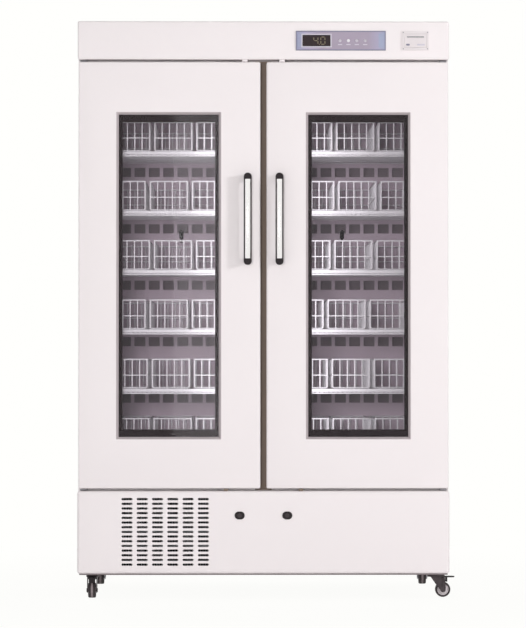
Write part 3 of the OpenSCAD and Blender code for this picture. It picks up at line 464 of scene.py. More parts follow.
# The plain finishes by their materials' names: light and dark tone, roughness, then grain, relief and patch in
# millimetres, and what differs from the usual. The tones are two hex colours, or a colour setting and the factor
# of the dark tone.
FINISHES = {
    # Polyester powder coat on steel: satin white, with the faint orange peel of melted powder,
    # drawn at 4 mm because the real 1.5 mm is too fine to show
    "powder_coat_white": ("paint", 0.97, 0.42, 4, 0.04, 500, {}),
    # Brushed stainless sheet: dull grey metal, its lines drawn out along the height, 3 mm wide to show
    "stainless_steel_brushed": ("liner", 0.88, 0.46, 3, 0.03, 120, {"metal": 0.15, "stretch": (1, 1, 0.04)}),
    # Polyethylene-coated steel wire: soft white gloss with slight runs in the coat
    "polyethylene_coat_white": ("wire", 0.95, 0.36, 6, 0.06, 120, {}),
    # Foamed-in-place polyurethane: pale yellow with open cells
    "polyurethane_foam": ("#E9DDB4", "#D9C992", 0.9, 3, 0.6, 40, {}),
    # Vacuum-formed ABS: off-white and slightly pebbled
    "abs_formed_white": ("#E9E5E5", "#DFDADA", 0.48, 2.5, 0.08, 120, {}),
    # Extruded PVC strip: matte brown-grey, drawn lines along its length
    "pvc_extruded_brown": ("mullion", 0.85, 0.62, 2, 0.05, 120, {"stretch": (1, 1, 0.05)}),
    # Stoved enamel on the base: mid grey, satin
    "stoved_enamel_grey": ("#8C8A8D", "#7B797D", 0.5, 3, 0.05, 120, {}),
    # Semi-gloss black enamel on cast and pressed steel
    "enamel_black": ("#242325", "#181719", 0.4, 4, 0.12, 120, {}),
    # Mill-finish aluminium fins
    "aluminium_mill": ("#C3C5C9", "#A6A9AE", 0.4, 2.5, 0.04, 120, {"metal": 1.0}),
    # Moulded ABS: matte near-black with a spark-eroded texture of about 1 mm, drawn at 1.5 mm
    "abs_moulded_black": ("#231B1E", "#191315", 0.45, 1.5, 0.05, 120, {"Specular_IOR_Level": 0.35}),
    # Satin grey trim of the windows
    "pvc_trim_grey": ("bevel", 0.92, 0.45, 2, 0.04, 120, {}),
    # Enamel print and black spacer between the panes
    "ceramic_print_black": ("#2A2023", "#1E1719", 0.6, 3, 0.03, 120, {"Specular_IOR_Level": 0.2}),
    # Dark grey strip under the lower cover, painted shade below its bottom edge
    "pvc_edging_grey": ("#857C7E", "#766D6F", 0.6, 2, 0.05, 120, {}),
    # Soft grey PVC with flow lines along the profile
    "pvc_gasket_grey": ("#8E898B", "#7A7678", 0.6, 3, 0.12, 120, {}),
    # Chrome plate: mirror-like, with slight polishing waves
    "chrome_plate": ("#F8F6F6", "#EFEDED", 0.16, 20, 0.04, 120, {"metal": 1.0, "spread": 0.04}),
    # Bright zinc plate on pressed steel: bluish grey with spangle
    "zinc_plate": ("#A9A8AC", "#8D8C91", 0.36, 5, 0.05, 20, {"metal": 0.9}),
    # Worn black-passivated zinc on the caster forks and lock plugs
    "zinc_black_passivated": ("#544C4E", "#332D2F", 0.42, 4, 0.06, 15, {"metal": 0.5}),
    # Moulded thermoplastic rubber, dusty
    "rubber_moulded_black": ("tyre", 1.5, 0.7, 2, 0.1, 20, {}),
    # The tread's paler middle band
    "rubber_worn_grey": ("#9A8F91", "#857A7C", 0.72, 2, 0.1, 10, {}),
    # Pale moulded polyamide
    "polyamide_pale": ("#D2CBCD", "#BDB5B8", 0.5, 2, 0.05, 20, {}),
    # Moulded white ABS with a fine texture
    "abs_moulded_white": ("#EAE3E5", "#E0D9DB", 0.5, 1.2, 0.04, 50, {}),
    # Translucent white silicone of the up key, its paler tone painted as light from a lamp behind it
    "silicone_white": ("#F4F1F5", "#E6E2E9", 0.42, 1, 0.03, 10, {}),
    # The same silicone without a lamp behind it
    "silicone_unlit": ("#CFC8D3", "#C2BBC7", 0.42, 1, 0.03, 10, {}),
    # Blue-grey moulded frame of the control panel
    "abs_moulded_blue_grey": ("#8D8B9E", "#7C7A8E", 0.45, 1, 0.04, 30, {}),
    # Pale blue printed strips
    "polyester_print_blue": ("#A7AEC6", "#989FB9", 0.38, 1, 0.02, 10, {}),
    # Pale rim printed round the display
    "polyester_print_pale": ("#D5D0DA", "#C8C3CE", 0.4, 1, 0.02, 10, {}),
    # Unlit-looking segments behind a smoked window
    "led_segment_dim": ("#8A8068", "#776D57", 0.5, 0.8, 0.02, 4, {}),
    # Smoked acrylic: nearly black with a clean gloss and faint wipe marks
    "acrylic_smoked": ("#33282A", "#2A2022", 0.2, 10, 0.01, 30, {"Specular_IOR_Level": 0.25}),
}


def painted_duct_shade():
    """The liner's steel, with painted shade: darker where the air duct hides the rear wall."""
    material = finish("stainless_steel_brushed").copy()
    material.name = "stainless_steel_dull_duct"
    tree = material.node_tree
    shader = tree.nodes["Principled BSDF"]
    tone = shader.inputs["Base Color"].links[0].from_socket
    depth = node(tree, "SeparateXYZ", {"Vector": node(tree, "TexCoord", output="Object")}, "Y")
    rear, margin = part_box("air_duct_panel")[1].y, 0.002
    # painted shade: the rear wall behind the air duct gets a darker tone in place of the shadow there
    hidden = node(tree, "Math", {0: depth, 1: rear - margin}, operation="GREATER_THAN")
    dark = node(tree, "MixRGB", {"Fac": hidden, "Color1": tone, "Color2": srgb("#9A8D93")})
    link(shader, {"Base Color": dark})
    return material


def panel_film():
    """Printed polyester film: lilac-grey that runs to blue at both ends."""
    lo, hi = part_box("control_fascia")
    lilac = bpy.context.scene.cabinet_colours.fascia
    material, tree, shader, place = blank("polyester_film_lilac", Roughness=0.4)
    across = node(tree, "SeparateXYZ", {"Vector": place}, "X")
    along = node(tree, "MapRange", {"Value": across, "From Min": lo.x, "From Max": hi.x})
    ramp = node(tree, "ValToRGB", {"Fac": along})
    stops = ramp.node.color_ramp.elements
    stops[0].position, stops[0].color = 0.0, srgb("#9299B4")
    stops[1].position, stops[1].color = 1.0, srgb("#98A1BC")
    for position, colour in ((0.12, srgb("#ABA3BD")), (0.3, lilac), (0.8, lilac), (0.92, srgb("#A9A3BC"))):
        stops.new(position).color = colour
    # matte grain of the film, 0.8 mm, too fine to show as more than a soft sheen
    grain = node(tree, "TexNoise", {"Vector": place, "Scale": 1 / 0.0008})
    bump = node(tree, "Bump", {"Height": grain, "Strength": 0.3, "Distance": 0.00002})
    link(shader, {"Base Color": ramp, "Normal": bump})
    return material


def clear_glass():
    """Float glass with a low-reflection coat: clear, with light and shadow rays let through."""
    material, tree, shader, place = blank("float_glass", Roughness=0.02, IOR=1.2, Transmission_Weight=1.0)
    smears = node(tree, "TexNoise", {"Vector": place, "Scale": 1 / 0.25, "Detail": 2.0})
    tone = node(tree, "MixRGB", {"Fac": smears, "Color1": srgb("#FCFBFD"), "Color2": srgb("#F6F5F8")})
    link(shader, {"Base Color": tone})
    clear = node(tree, "BsdfTransparent", {"Color": srgb("#FDFDFD")})
    mixed(tree, rays(tree, "Shadow", "Diffuse"), shader.outputs["BSDF"], clear)
    return material


SPECIAL = {"stainless_steel_dull_duct": painted_duct_shade, "polyester_film_lilac": panel_film, "float_glass": clear_glass}


@functools.cache
def finish(name):
    """The material of a finish, made once."""
    if name in SPECIAL:
        return SPECIAL[name]()
    light, dark, *numbers, rest = FINISHES[name]
    if light.startswith("#"):
        light, dark = srgb(light), srgb(dark)
    else:
        light = getattr(bpy.context.scene.cabinet_colours, light)
        dark = shade(light, dark)
    return surface(name, light, dark, *numbers, **rest)


# Pieces


# how far an opening in the header lies inside the outline of what sits in it, at the sides and ends
MARGINS = {"control_fascia": (0.006, 0.006), "printer_body": (0.0042, 0.0062)}
# stop blocks above and below the doors: distance from the middle and half the width
UPPER_STOP, LOWER_STOP = (0.061, 0.009), (0.123, 0.007)
# distance of the locks from the middle, radius of their holes and of the bolts' holes
LOCK_X, LOCK_HOLE, BOLT_HOLE = 0.078, 0.0098, 0.0042


def header_cover(sizes):
    """Header cover with the openings for the control panel and the printer."""
    cover = tray("header_panel", (-HALF_W, FACE, HEADER_LOW), (HALF_W, FLANGE, TOP), sizes.fold, sizes.sheet)
    for name, (side, end) in MARGINS.items():
        cut(cover, block("tool", *inside(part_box(name), side, end, FACE - REACH, FACE + REACH)))
    return cover


def lower_cover(sizes):
    """Lower cover with its grille and the holes for locks and bolts."""
    fold = sizes.fold * 1.5
    cover = tray("lower_panel", (-HALF_W, FACE, BASE), (HALF_W, FLANGE, LOWER_TOP), fold, sizes.sheet)
    cut(cover, grille(sizes))
    lock_z = middle("lock_bodies").z
    for side, sign in SIDES.items():
        x, mid, top = sign * LOCK_X, middle(side + "_lock_bolt"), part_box(side + "_lock_bolt")[1].z
        cut(
            cover,
            rod("tool", (x, FACE - REACH, lock_z), (x, FACE + REACH, lock_z), LOCK_HOLE, 24),
            drill(mid.x, mid.y, top, BOLT_HOLE, 16),
        )
    return cover


def stops(x, half, low, high):
    """A pair of stop blocks, x off the middle, in the gap above or below the doors."""
    near, far, edge = FACE + 0.004, FACE + 0.030, 0.0012
    pair = [block("stop", (sign * x - half, near, low), (sign * x + half, far, high)) for sign in (-1, 1)]
    return [soften(stop, edge) for stop in pair]


def trims(sizes):
    """Mullion with a cover strip over the whole door height, and a dark strip under the lower cover that paints the
    shade below its bottom edge.
    """
    half, lip, thin = 0.027, 0.001, 0.0006
    strip = block("strip", (-half, FLANGE - thin, LOWER_TOP + lip), (half, FLANGE, HEADER_LOW - lip))
    mullion = from_node("center_mullion", "mullion", 0.001)
    mullion = joined("mullion_strip", [mullion, soften(strip, 0.0002, 1)])
    dressed(mullion, "pvc_extruded_brown", "cabinet", "mullion_brown", "center_mullion")
    fold, tall = sizes.fold, 0.004
    # painted shade: a thin dark strip below the lower cover stands in for the shadow line under its bottom edge
    shade_strip = block("lower_edging", (-HALF_W + fold, FACE + fold, BASE - tall), (HALF_W - fold, FLANGE, BASE))
    dressed(soften(shade_strip, 0.001), "pvc_edging_grey", "cabinet", "base_paint")


def grille(sizes):
    """All slots of the grille as one cutting tool."""
    pitch_x, pitch_z, mid_x, rise = 0.050, 0.0153, -0.322, 0.002
    left = mid_x - (sizes.grille_columns - 1) / 2 * pitch_x
    low = (BASE + LOWER_TOP) / 2 + rise - (sizes.grille_rows - 1) / 2 * pitch_z
    slot = slab("tool", left, low, sizes.slot_w, sizes.slot_h, FACE - REACH, FACE + REACH)
    eased(slot, runs(1), sizes.slot_h * 0.45, 3)
    repeat(slot, sizes.grille_columns, (pitch_x, 0, 0))
    return repeat(slot, sizes.grille_rows, (0, 0, pitch_z))


class CABINET_OT_covers(bpy.types.Operator):
    """Header cover and lower front cover with its grille, folded from sheet"""

    bl_idname = "cabinet.covers"
    bl_label = "Covers"

    def execute(self, context):
        sizes = context.scene.cabinet_sizes
        header, lower = header_cover(sizes), lower_cover(sizes)
        upper_stops = stops(*UPPER_STOP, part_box("header_cover")[0].z, HEADER_LOW)
        lower_stops = stops(*LOWER_STOP, LOWER_TOP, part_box("lower_front_cover")[1].z)
        joined(header.name, [header, *upper_stops])
        dressed(joined("lower_stops", lower_stops), "pvc_extruded_brown", "cabinet", "mullion_brown")
        trims(sizes)
        dressed(header, "powder_coat_white", "cabinet", "white_paint", "header_cover")
        dressed(lower, "powder_coat_white", "cabinet", "white_paint", "lower_front_cover")
        return {"FINISHED"}


# place of the hinge pins, radius of their holes and of the bolts' holes in the doors
HINGE_X, HINGE_Y, HINGE_HOLE, KEEPER_HOLE = 0.593, -0.341, 0.0056, 0.006


def bolt_hole(skin, side):
    """Hole in a door's lower edge for the lock bolt, which isn't in the same place on both doors."""
    mid, low = middle(side + "_lock_bolt"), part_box(side + "_door_shell")[0].z
    cut(skin, drill(mid.x, mid.y, low, KEEPER_HOLE))


def door_front(sizes):
    """Steel front of the right door with its window hole and the holes for hinge pins."""
    lo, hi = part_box("right_door_shell")
    skin = tray("right_door_front", lo, hi, sizes.fold, sizes.sheet)
    window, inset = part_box("right_window_frame"), 0.0004
    cut(skin, block("tool", *inside(window, inset, inset, FACE - REACH, FACE + REACH)))
    return cut(skin, *(drill(HINGE_X, HINGE_Y, z, HINGE_HOLE) for z in (lo.z, hi.z)))


def window_bevel(sizes):
    """Grey frame that leads down to the glass."""
    lo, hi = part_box("right_window_frame")
    proud, lip, thick = 0.0003, 0.0015, 0.002
    alone()
    place = ((lo.x + hi.x) / 2, FACE - proud, (lo.z + hi.z) / 2)
    bpy.ops.mesh.primitive_plane_add(size=1, location=place, rotation=(math.pi / 2, 0, 0))
    bpy.context.object.scale = (hi.x - lo.x, hi.z - lo.z, 1)
    trim = placed("right_door_bevel")
    edit_all()
    bpy.ops.mesh.inset(thickness=lip)
    bpy.ops.mesh.inset(thickness=sizes.bevel - lip, depth=-sizes.bevel_depth)
    bpy.ops.mesh.delete(type="FACE")
    return modify(trim, "SOLIDIFY", thickness=thick, offset=-1.0, use_even_offset=True)


def window_border(sizes):
    """Black border and spacer between the panes."""
    lo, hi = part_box("right_door_glass")
    pane, gap = 0.005, 0.0002
    hidden = sizes.bevel - 0.001
    corners = inside((lo, hi), 0, 0, lo.y + pane + gap, hi.y - pane - gap)
    return frame_block("right_door_border", *corners, hidden + sizes.border_side, hidden + sizes.border_end)


def door_gasket():
    """Magnetic gasket: foot, pulled-in bellows and a wider head."""
    lo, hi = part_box("right_door_gasket")
    deep, rings = hi.y - lo.y, []
    # inset and width of each ring in metres, and where it starts and ends through the gasket's depth
    for inset, width, start, end in ((0, 0.016, 0, 0.32), (0.004, 0.008, 0.28, 0.76), (0.0015, 0.013, 0.7, 1)):
        corners = inside((lo, hi), inset, inset, lo.y + deep * start, lo.y + deep * end)
        rings.append(soften(frame_block("ring", *corners, width, width), 0.0008))
    return joined("right_door_gasket_profile", rings)


class CABINET_OT_doors(bpy.types.Operator):
    """Door fronts, window trims, borders and gaskets"""

    bl_idname = "cabinet.doors"
    bl_label = "Doors"

    # each piece's finish, slot and the CAD node it stands for
    LOOKS = {
        "front": ("powder_coat_white", "white_paint", ("door_shell",)),
        "bevel": ("pvc_trim_grey", "window_trim", ("window_frame",)),
        "border": ("ceramic_print_black", "window_trim", ()),
        "gasket": ("pvc_gasket_grey", "gasket_grey", ("door_gasket",)),
    }

    def execute(self, context):
        sizes = context.scene.cabinet_sizes
        right = (door_front(sizes), window_bevel(sizes), window_border(sizes), door_gasket())
        for (kind, (look, slot, nodes)), piece in zip(self.LOOKS.items(), right):
            for side, obj in pair(piece, "left_door_" + kind):
                if kind == "front":
                    bolt_hole(obj, side)
                dressed(obj, look, side + "_door", slot, *(side + "_" + n for n in nodes))
        return {"FINISHED"}


def handle_body():
    """Dark bar with round ends on two posts."""
    lo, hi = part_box("right_door_handle")
    front, back, round_end = lo.y + 0.004, lo.y + 0.019, (hi.x - lo.x) * 0.49
    bar = block("right_handle_body", (lo.x, front, lo.z), (hi.x, back, hi.z))
    parts = [soften(eased(bar, runs(1), round_end, 10), 0.005, 4)]
    mid_x, wide, tall, start, end_gap = (lo.x + hi.x) / 2, 0.020, 0.0205, lo.y + 0.012, 0.0145
    for z in (lo.z + end_gap, hi.z - end_gap):
        parts.append(soften(slab("post", mid_x, z, wide, tall, start, hi.y), 0.003))
    return joined("right_handle_body", parts)


def handle_grip():
    """Bright front with rounded edges, short of the bar's ends."""
    lo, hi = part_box("right_door_handle")
    cap, side, deep = 0.021, 0.0035, 0.013
    grip = block("right_handle_grip", *inside((lo, hi), side, cap, lo.y, lo.y + deep))
    eased(grip, lambda corners: level(1, lo.y)(corners) and level(0, corners[0].x)(corners), 0.006, 6)
    return soften(grip, 0.0008)


class CABINET_OT_handles(bpy.types.Operator):
    """Bar handles: dark moulded body with a bright front"""

    bl_idname = "cabinet.handles"
    bl_label = "Handles"

    def execute(self, context):
        body, grip = handle_body(), handle_grip()
        for obj, look, slot in ((body, "abs_moulded_black", "lock_black"), (grip, "chrome_plate", "handle_chrome")):
            for side, piece in pair(obj, obj.name.replace("right", "left")):
                dressed(piece, look, side + "_door", slot, side + "_door_handle", angle=50)
        return {"FINISHED"}


class CABINET_OT_shelves(bpy.types.Operator):
    """Wire shelves with a braced front edge"""

    bl_idname = "cabinet.shelves"
    bl_label = "Wire shelves"

    # where the cross wires lie between a shelf's front and back
    CROSS = (0.03, 0.1, 0.18, 0.26, 0.34, 0.45, 0.56, 0.67, 0.82, 0.98)
    BARS, WAVES = 37, 60

    def execute(self, context):
        thin = context.scene.cabinet_sizes.mesh_wire
        lo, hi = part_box("shelves")
        left, right, top = 0.064, hi.x, hi.z
        inset, rail, strip, thick = 0.003, 0.017, 0.0105, 0.002
        front, back, cross_z, low_z = lo.y + inset, hi.y - inset, top - 0.0045, top - rail + thick
        across = (right - left - 2 * inset) / (self.BARS - 1)
        bar = rod("bar", (left + inset, front, top - thin), (left + inset, back, top - thin), thin, 6)
        parts = [repeat(bar, self.BARS, (across, 0, 0))]
        for share in self.CROSS:
            y = front + (back - front) * share
            parts.append(rod("cross", (left, y, cross_z), (right, y, cross_z), thick, 6))
        parts.append(soften(block("strip", (left, lo.y, top - strip), (right, lo.y + 0.004, top)), 0.0012))
        parts.append(rod("edge", (left, front, low_z), (right, front, low_z), thick, 8))
        zigzag = []
        for i in range(self.WAVES + 1):
            x = left + thick + (right - left - 2 * thick) * i / self.WAVES
            zigzag.append((x, front, top - strip if i % 2 else low_z))
        parts.append(wire("brace", zigzag, 0.0014))
        half = repeat(joined("shelf", parts), LEVELS, (0, 0, -LEVEL_STEP))
        other = copied(half, "shelf_left", mirror=True)
        shelves = joined("wire_shelves", [half, other])
        dressed(shelves, "polyethylene_coat_white", "cabinet", "wire_white", "shelves", angle=60)
        return {"FINISHED"}


HOOPS, BELT = 21, 0.45
UPRIGHTS = (-0.6, -0.2, 0.2, 0.6)


def basket(sizes):
    """One basket round the middle line, standing at height 0."""
    lo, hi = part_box("right_baskets")
    rim, thin, tall = sizes.rim_wire, sizes.mesh_wire, sizes.basket_h
    half, top, belt = sizes.basket_w / 2 - rim, tall - rim, tall * BELT
    ends = front, back = lo.y + rim, hi.y - rim
    parts = []
    outline = rounded([(-half, 0, rim), (half, 0, rim), (half, 0, top), (-half, 0, top)], 0.006)
    for y in ends:
        parts.append(wire("end", [p + Vector((0, y, 0)) for p in outline], rim, closed=True))
    step = (back - front) / (HOOPS + 1)
    y = front + step
    hoop = [(-half, y, top), (-half, y, thin), (half, y, thin), (half, y, top)]
    hoop = rounded(hoop, 0.008, closed=False, steps=3)
    parts.append(repeat(wire("hoop", hoop, thin * 1.25, square=True), HOOPS, (0, step, 0)))
    for x in (-half, half):
        parts.append(rod("rim", (x, front, top), (x, back, top), rim, 8))
        parts.append(rod("side", (x, front, belt), (x, back, belt), thin, 6))
    stout = thin * 1.2
    for x in (share * half for share in UPRIGHTS):
        parts.append(rod("floor", (x, front, thin * 2), (x, back, thin * 2), thin, 6))
        for y in ends:
            parts.append(rod("upright", (x, y, rim), (x, y, top), stout, 6))
    for y in ends:
        parts.append(rod("belt", (-half, y, belt), (half, y, belt), stout, 6))
    return joined("basket_pattern", parts)


class CABINET_OT_baskets(bpy.types.Operator):
    """Thirty-six welded wire baskets on the shelves"""

    bl_idname = "cabinet.baskets"
    bl_label = "Wire baskets"

    # how far each level's baskets stand off their even spacing, lowest level first, in millimetres
    SHIFTS = {"left": (-7, -13, -20, -6, -20, -5), "right": (1, -2, -16, 7, 20, 13)}
    PLACES = (0.154, 0.294, 0.434)

    def execute(self, context):
        pattern = basket(context.scene.cabinet_sizes)
        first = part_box("right_baskets")[0].z
        for side, sign in SIDES.items():
            copies = []
            for row, shift in enumerate(self.SHIFTS[side]):
                for place in self.PLACES:
                    move = (sign * place + shift / 1000, 0, first + row * LEVEL_STEP)
                    copies.append(copied(pattern, "basket", move))
            baskets = joined(side + "_wire_baskets", copies)
            dressed(baskets, "polyethylene_coat_white", "cabinet", "wire_white", side + "_baskets", angle=60)
        bpy.data.objects.remove(pattern)
        return {"FINISHED"}


KEYS = ("set_key", "up_key", "down_key", "mute_key")
# bars of a seven-segment digit: how far right and up of the middle, and whether it lies flat
SEGMENTS = {
    "a": (0, 1, True),
    "b": (1, 0.5, False),
    "c": (1, -0.5, False),
    "d": (0, -1, True),
    "e": (-1, -0.5, False),
    "f": (-1, 0.5, False),
    "g": (0, 0, True),
}


def control_panel():
    """Moulded frame with the printed film, its strips and the marks under the keys."""
    lo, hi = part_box("control_fascia")
    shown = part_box("display_window")
    edge, fine, gap = 0.004, 0.0002, 0.0004
    film_front, rim_front, print_front, inner = lo.y - 0.0003, lo.y - 0.0012, lo.y - 0.0006, lo.y + 0.001
    bezel = soften(block("fascia_bezel", lo, (hi.x, FACE + 0.001, hi.z)), 0.0012)
    film = soften(block("fascia_film", *inside((lo, hi), edge, edge, film_front, inner)), fine, 1)
    rim = frame_block("display_rim", *inside(shown, -edge, -edge, rim_front, inner), edge - gap, edge - gap)
    soften(rim, 0.0004, 1)
    near, far = lo.y - REACH, FACE + REACH
    for obj in (bezel, film):
        cut(obj, block("tool", *inside(shown, -gap, -gap, near, far)))
        for key in KEYS:
            mid, (key_lo, key_hi) = middle(key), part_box(key)
            radius = (key_hi.x - key_lo.x) / 2 + gap
            cut(obj, rod("tool", (mid.x, near, mid.z), (mid.x, far, mid.z), radius, 24))
    # left edge, width and distance from the panel's upper and lower edge of each strip
    strips = [(lo.x + x, 0.0022, 0.012) for x in (0.0085, 0.0128, 0.0171)] + [(hi.x - 0.024, 0.016, 0.009)]
    strips = [
        block("strip", (x, print_front, lo.z + end), (x + width, lo.y, hi.z - end)) for x, width, end in strips
    ]
    marks, half, start, end = [], 0.007, 0.0095, 0.0065
    for key in KEYS:
        x, z = middle(key).x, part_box(key)[0].z
        marks.append(block("mark", (x - half, print_front, z - start), (x + half, lo.y, z - end)))
    strips = soften(joined("fascia_strips", strips), fine, 1)
    marks = soften(joined("key_marks", marks), fine, 1)
    dressed(bezel, "abs_moulded_blue_grey", "cabinet", "fascia_lilac", "control_fascia")
    looks = {film: "film_lilac", rim: "print_pale", strips: "print_blue", marks: "print_pale"}
    for obj, look in looks.items():
        dressed(obj, "polyester_" + look, "cabinet", "fascia_lilac")


def display_digits():
    """A reading of 4.0 in seven-segment bars."""
    mid, front = middle("display_window"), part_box("display_window")[0].y
    tall, wide, bar, thin = 0.024, 0.0135, 0.0026, 0.0002
    dot = (mid.x + 0.0095, mid.z - tall / 2, bar, bar)
    bars = []
    for x, lit in ((mid.x - 0.002, "bcfg"), (mid.x + 0.021, "abcdef")):
        for across, up, flat in (SEGMENTS[name] for name in lit):
            size = (wide - bar * 1.5, bar) if flat else (bar, tall / 2 - bar * 1.3)
            bars.append((x + across * wide / 2, mid.z + up * tall / 2, *size))
    parts = [slab("bar", *bar, front - thin, front + thin) for bar in (*bars, dot)]
    digits = eased(joined("display_digits", parts), runs(1), 0.0008, 1)
    dressed(digits, "led_segment_dim", "cabinet", "display_dark")


def round_keys():
    """Round silicone keys with a domed top."""
    for key in KEYS:
        lo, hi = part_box(key)
        r, deep, mid = (hi.x - lo.x) / 2, hi.y - lo.y, middle(key)
        dome = [(r, deep - 0.0016), (r - 0.0006, deep - 0.0006), (r * 0.55, deep - 0.0001), (0, deep)]
        piece = turned(key + "_dome", [(0, 0), (r, 0), *dome], (mid.x, hi.y, mid.z), (0, -1, 0), 24)
        # painted light: the up key's paler silicone stands in for a lamp behind it; the other keys show the
        # silicone unlit
        look = "silicone_white" if key == "up_key" else "silicone_unlit"
        dressed(piece, look, key, "key_white", key, angle=45)


def printer_front():
    """Printer front with its screws, flap, tear edge, feed key and pale strip."""
    flange = from_node("printer_body", "printer_frame", 0.0012)
    lo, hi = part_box("printer_body")
    head, heads = [(0, 0), (0.002, 0), (0.0018, 0.0007), (0, 0.001)], []
    side, end = 0.0035, 0.0045
    for x in (lo.x + side, hi.x - side):
        for z in (lo.z + end, hi.z - end):
            heads.append(turned("head", head, (x, lo.y, z), (0, -1, 0), 12))
    heads = joined("printer_screws", heads)
    flap = from_node("printer_cover", "printer_flap", 0.0008)
    lo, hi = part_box("printer_cover")
    teeth = tear_edge(lo, hi)
    left, right, low, inner = lo.x + 0.009, hi.x - 0.009, lo.z + 0.006, lo.y + 0.001
    wide, tall, proud = 0.012, 0.006, 0.0012
    button = block("printer_feed_key", (left, lo.y - proud, low), (left + wide, inner, low + tall))
    button = soften(eased(button, runs(1), 0.0028, 5), 0.0004, 2, 60)
    wide, tall, proud = 0.025, 0.0055, 0.0004
    strip = block("printer_label_strip", (right - wide, lo.y - proud, low), (right, inner, low + tall))
    soften(strip, 0.0002, 1)
    dressed(flange, "abs_moulded_white", "cabinet", "printer_white", "printer_body")
    dressed(heads, "zinc_plate", "cabinet", "hardware_steel")
    dressed(flap, "abs_moulded_white", "printer_cover", "printer_white", "printer_cover")
    dressed(teeth, "zinc_plate", "printer_cover", "hardware_steel")
    dressed(button, "abs_moulded_blue_grey", "printer_cover", "printer_white")
    dressed(strip, "polyester_print_pale", "printer_cover", "printer_white")


def tear_edge(lo, hi):
    """Toothed bar over the flap's paper slot."""
    count, side, slot_z = 28, 0.0115, hi.z - 0.012
    left, right, inset = lo.x + side, hi.x - side, 0.001
    place = (left + inset, lo.y - 0.0004, slot_z + 0.0009)
    tooth = turned("tooth", [(0, 0), (0.0011, 0), (0, 0.0016)], place, (0, 0, -1), 4)
    teeth = repeat(tooth, count, ((right - left - 2 * inset) / (count - 1), 0, 0))
    bar = block("bar", (left, lo.y - 0.0010, slot_z + 0.0006), (right, lo.y + 0.0004, slot_z + 0.0034))
    return joined("printer_tear_edge", [teeth, soften(bar, 0.0003, 1)])


class CABINET_OT_controls(bpy.types.Operator):
    """Control panel, display digits, keys and printer"""

    bl_idname = "cabinet.controls"
    bl_label = "Controls"

    def execute(self, context):
        control_panel()
        display_digits()
        round_keys()
        printer_front()
        return {"FINISHED"}


def caster_wheel(cad):
    """Tyre with a paler band round its tread and a dished pale hub."""
    lo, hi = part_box(cad)
    axis = Vector((1, 0, 0)) if hi.x - lo.x < hi.y - lo.y else Vector((0, 1, 0))
    r, half = (hi.z - lo.z) / 2, min(hi.x - lo.x, hi.y - lo.y) / 2
    # one side of each profile: radius, and height over the wheel's outer face
    tyre = [(r - 0.0066, 0.0006), (r - 0.0025, 0), (r - 0.0008, 0.0014), (r, 0.0045)]
    hub = [(0.0042, 0.0012), (0.0085, 0.0004), (0.0092, 0.0012), (0.010, 0.0034)]
    hub += [(0.0152, 0.0034), (0.0168, 0.0016), (r - 0.0064, 0.0012)]
    pale_band, edge = half - 0.0034, half - 0.0036
    tread = [(r - 0.001, edge), (r + 0.00005, pale_band)]
    profiles = {
        "_tyre": (tyre, "rubber_moulded_black", "caster_tyre", (cad,), 35),
        "_hub": (hub, "polyamide_pale", "caster_zinc", (), 25),
        "_tread": (tread, "rubber_worn_grey", "caster_tyre", (), 35),
    }
    for end, (side, look, slot, nodes, angle) in profiles.items():
        near = [(radius, height - half) for radius, height in side]
        profile = near + [(radius, -height) for radius, height in reversed(near)] + near[:1]
        piece = turned(cad + end, profile, middle(cad), axis, 48)
        dressed(piece, look, cad, slot, *nodes, angle=angle)


def rear_screws():
    """Pan-head screws round the back panel and the rear cover."""
    places, edge, end = [], 0.008, 0.02
    for name, rows in (("back_panel", 7), ("machine_rear_cover", 3)):
        lo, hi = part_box(name)
        for row in range(rows):
            z = lo.z + end + (hi.z - lo.z - 2 * end) * row / (rows - 1)
            places += [(lo.x + edge, REAR, z), (hi.x - edge, REAR, z)]
    dome = [(0, 0), (0.0042, 0), (0.004, 0.0012), (0.003, 0.0022)]
    recess = [(0.0012, 0.0026), (0.001, 0.0016), (0, 0.0016)]
    head = turned("screw", dome + recess, (0, 0, 0), (0, 1, 0), 16)
    screws = joined("rear_screws", [copied(head, "screw", place) for place in places])
    bpy.data.objects.remove(head)
    dressed(screws, "zinc_plate", "cabinet", "hardware_steel")


class CABINET_OT_hardware(bpy.types.Operator):
    """Locks, hinge brackets, casters and the screws at the back"""

    bl_idname = "cabinet.hardware"
    bl_label = "Hardware"

    # pieces that are CAD nodes with rounded edges: name, radius, finish and slot
    ROUNDED = {
        "lock_bodies": ("lock_collars", 0.0009, "abs_moulded_black", "lock_black"),
        "hinge_brackets": ("hinge_plates", 0.0005, "zinc_plate", "hardware_steel"),
        "caster_plates": ("caster_tops", 0.0006, "zinc_plate", "caster_zinc"),
    }
    CORNERS = ("front_left", "front_right", "rear_left", "rear_right")

    def execute(self, context):
        for cad, (name, radius, look, slot) in self.ROUNDED.items():
            dressed(from_node(cad, name, radius), look, "cabinet", slot, cad)
        for side in SIDES:
            plug = side + "_lock_plug"
            barrel = from_node(plug, side + "_lock_barrel", 0.0004)
            dressed(barrel, "zinc_black_passivated", plug, "hardware_steel", plug)
        for corner in self.CORNERS:
            fork, wheel, brake = (corner + end for end in ("_fork", "_wheel", "_brake"))
            look = "zinc_black_passivated" if corner.startswith("front") else "zinc_plate"
            dressed(from_node(fork, fork + "_pressing", 0.0007), look, fork, "caster_zinc", fork)
            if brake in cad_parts:
                pedal = from_node(brake, brake + "_pedal", 0.0009)
                dressed(pedal, "abs_moulded_black", brake, "pedal_black", brake)
            caster_wheel(wheel)
        rear_screws()
        return {"FINISHED"}


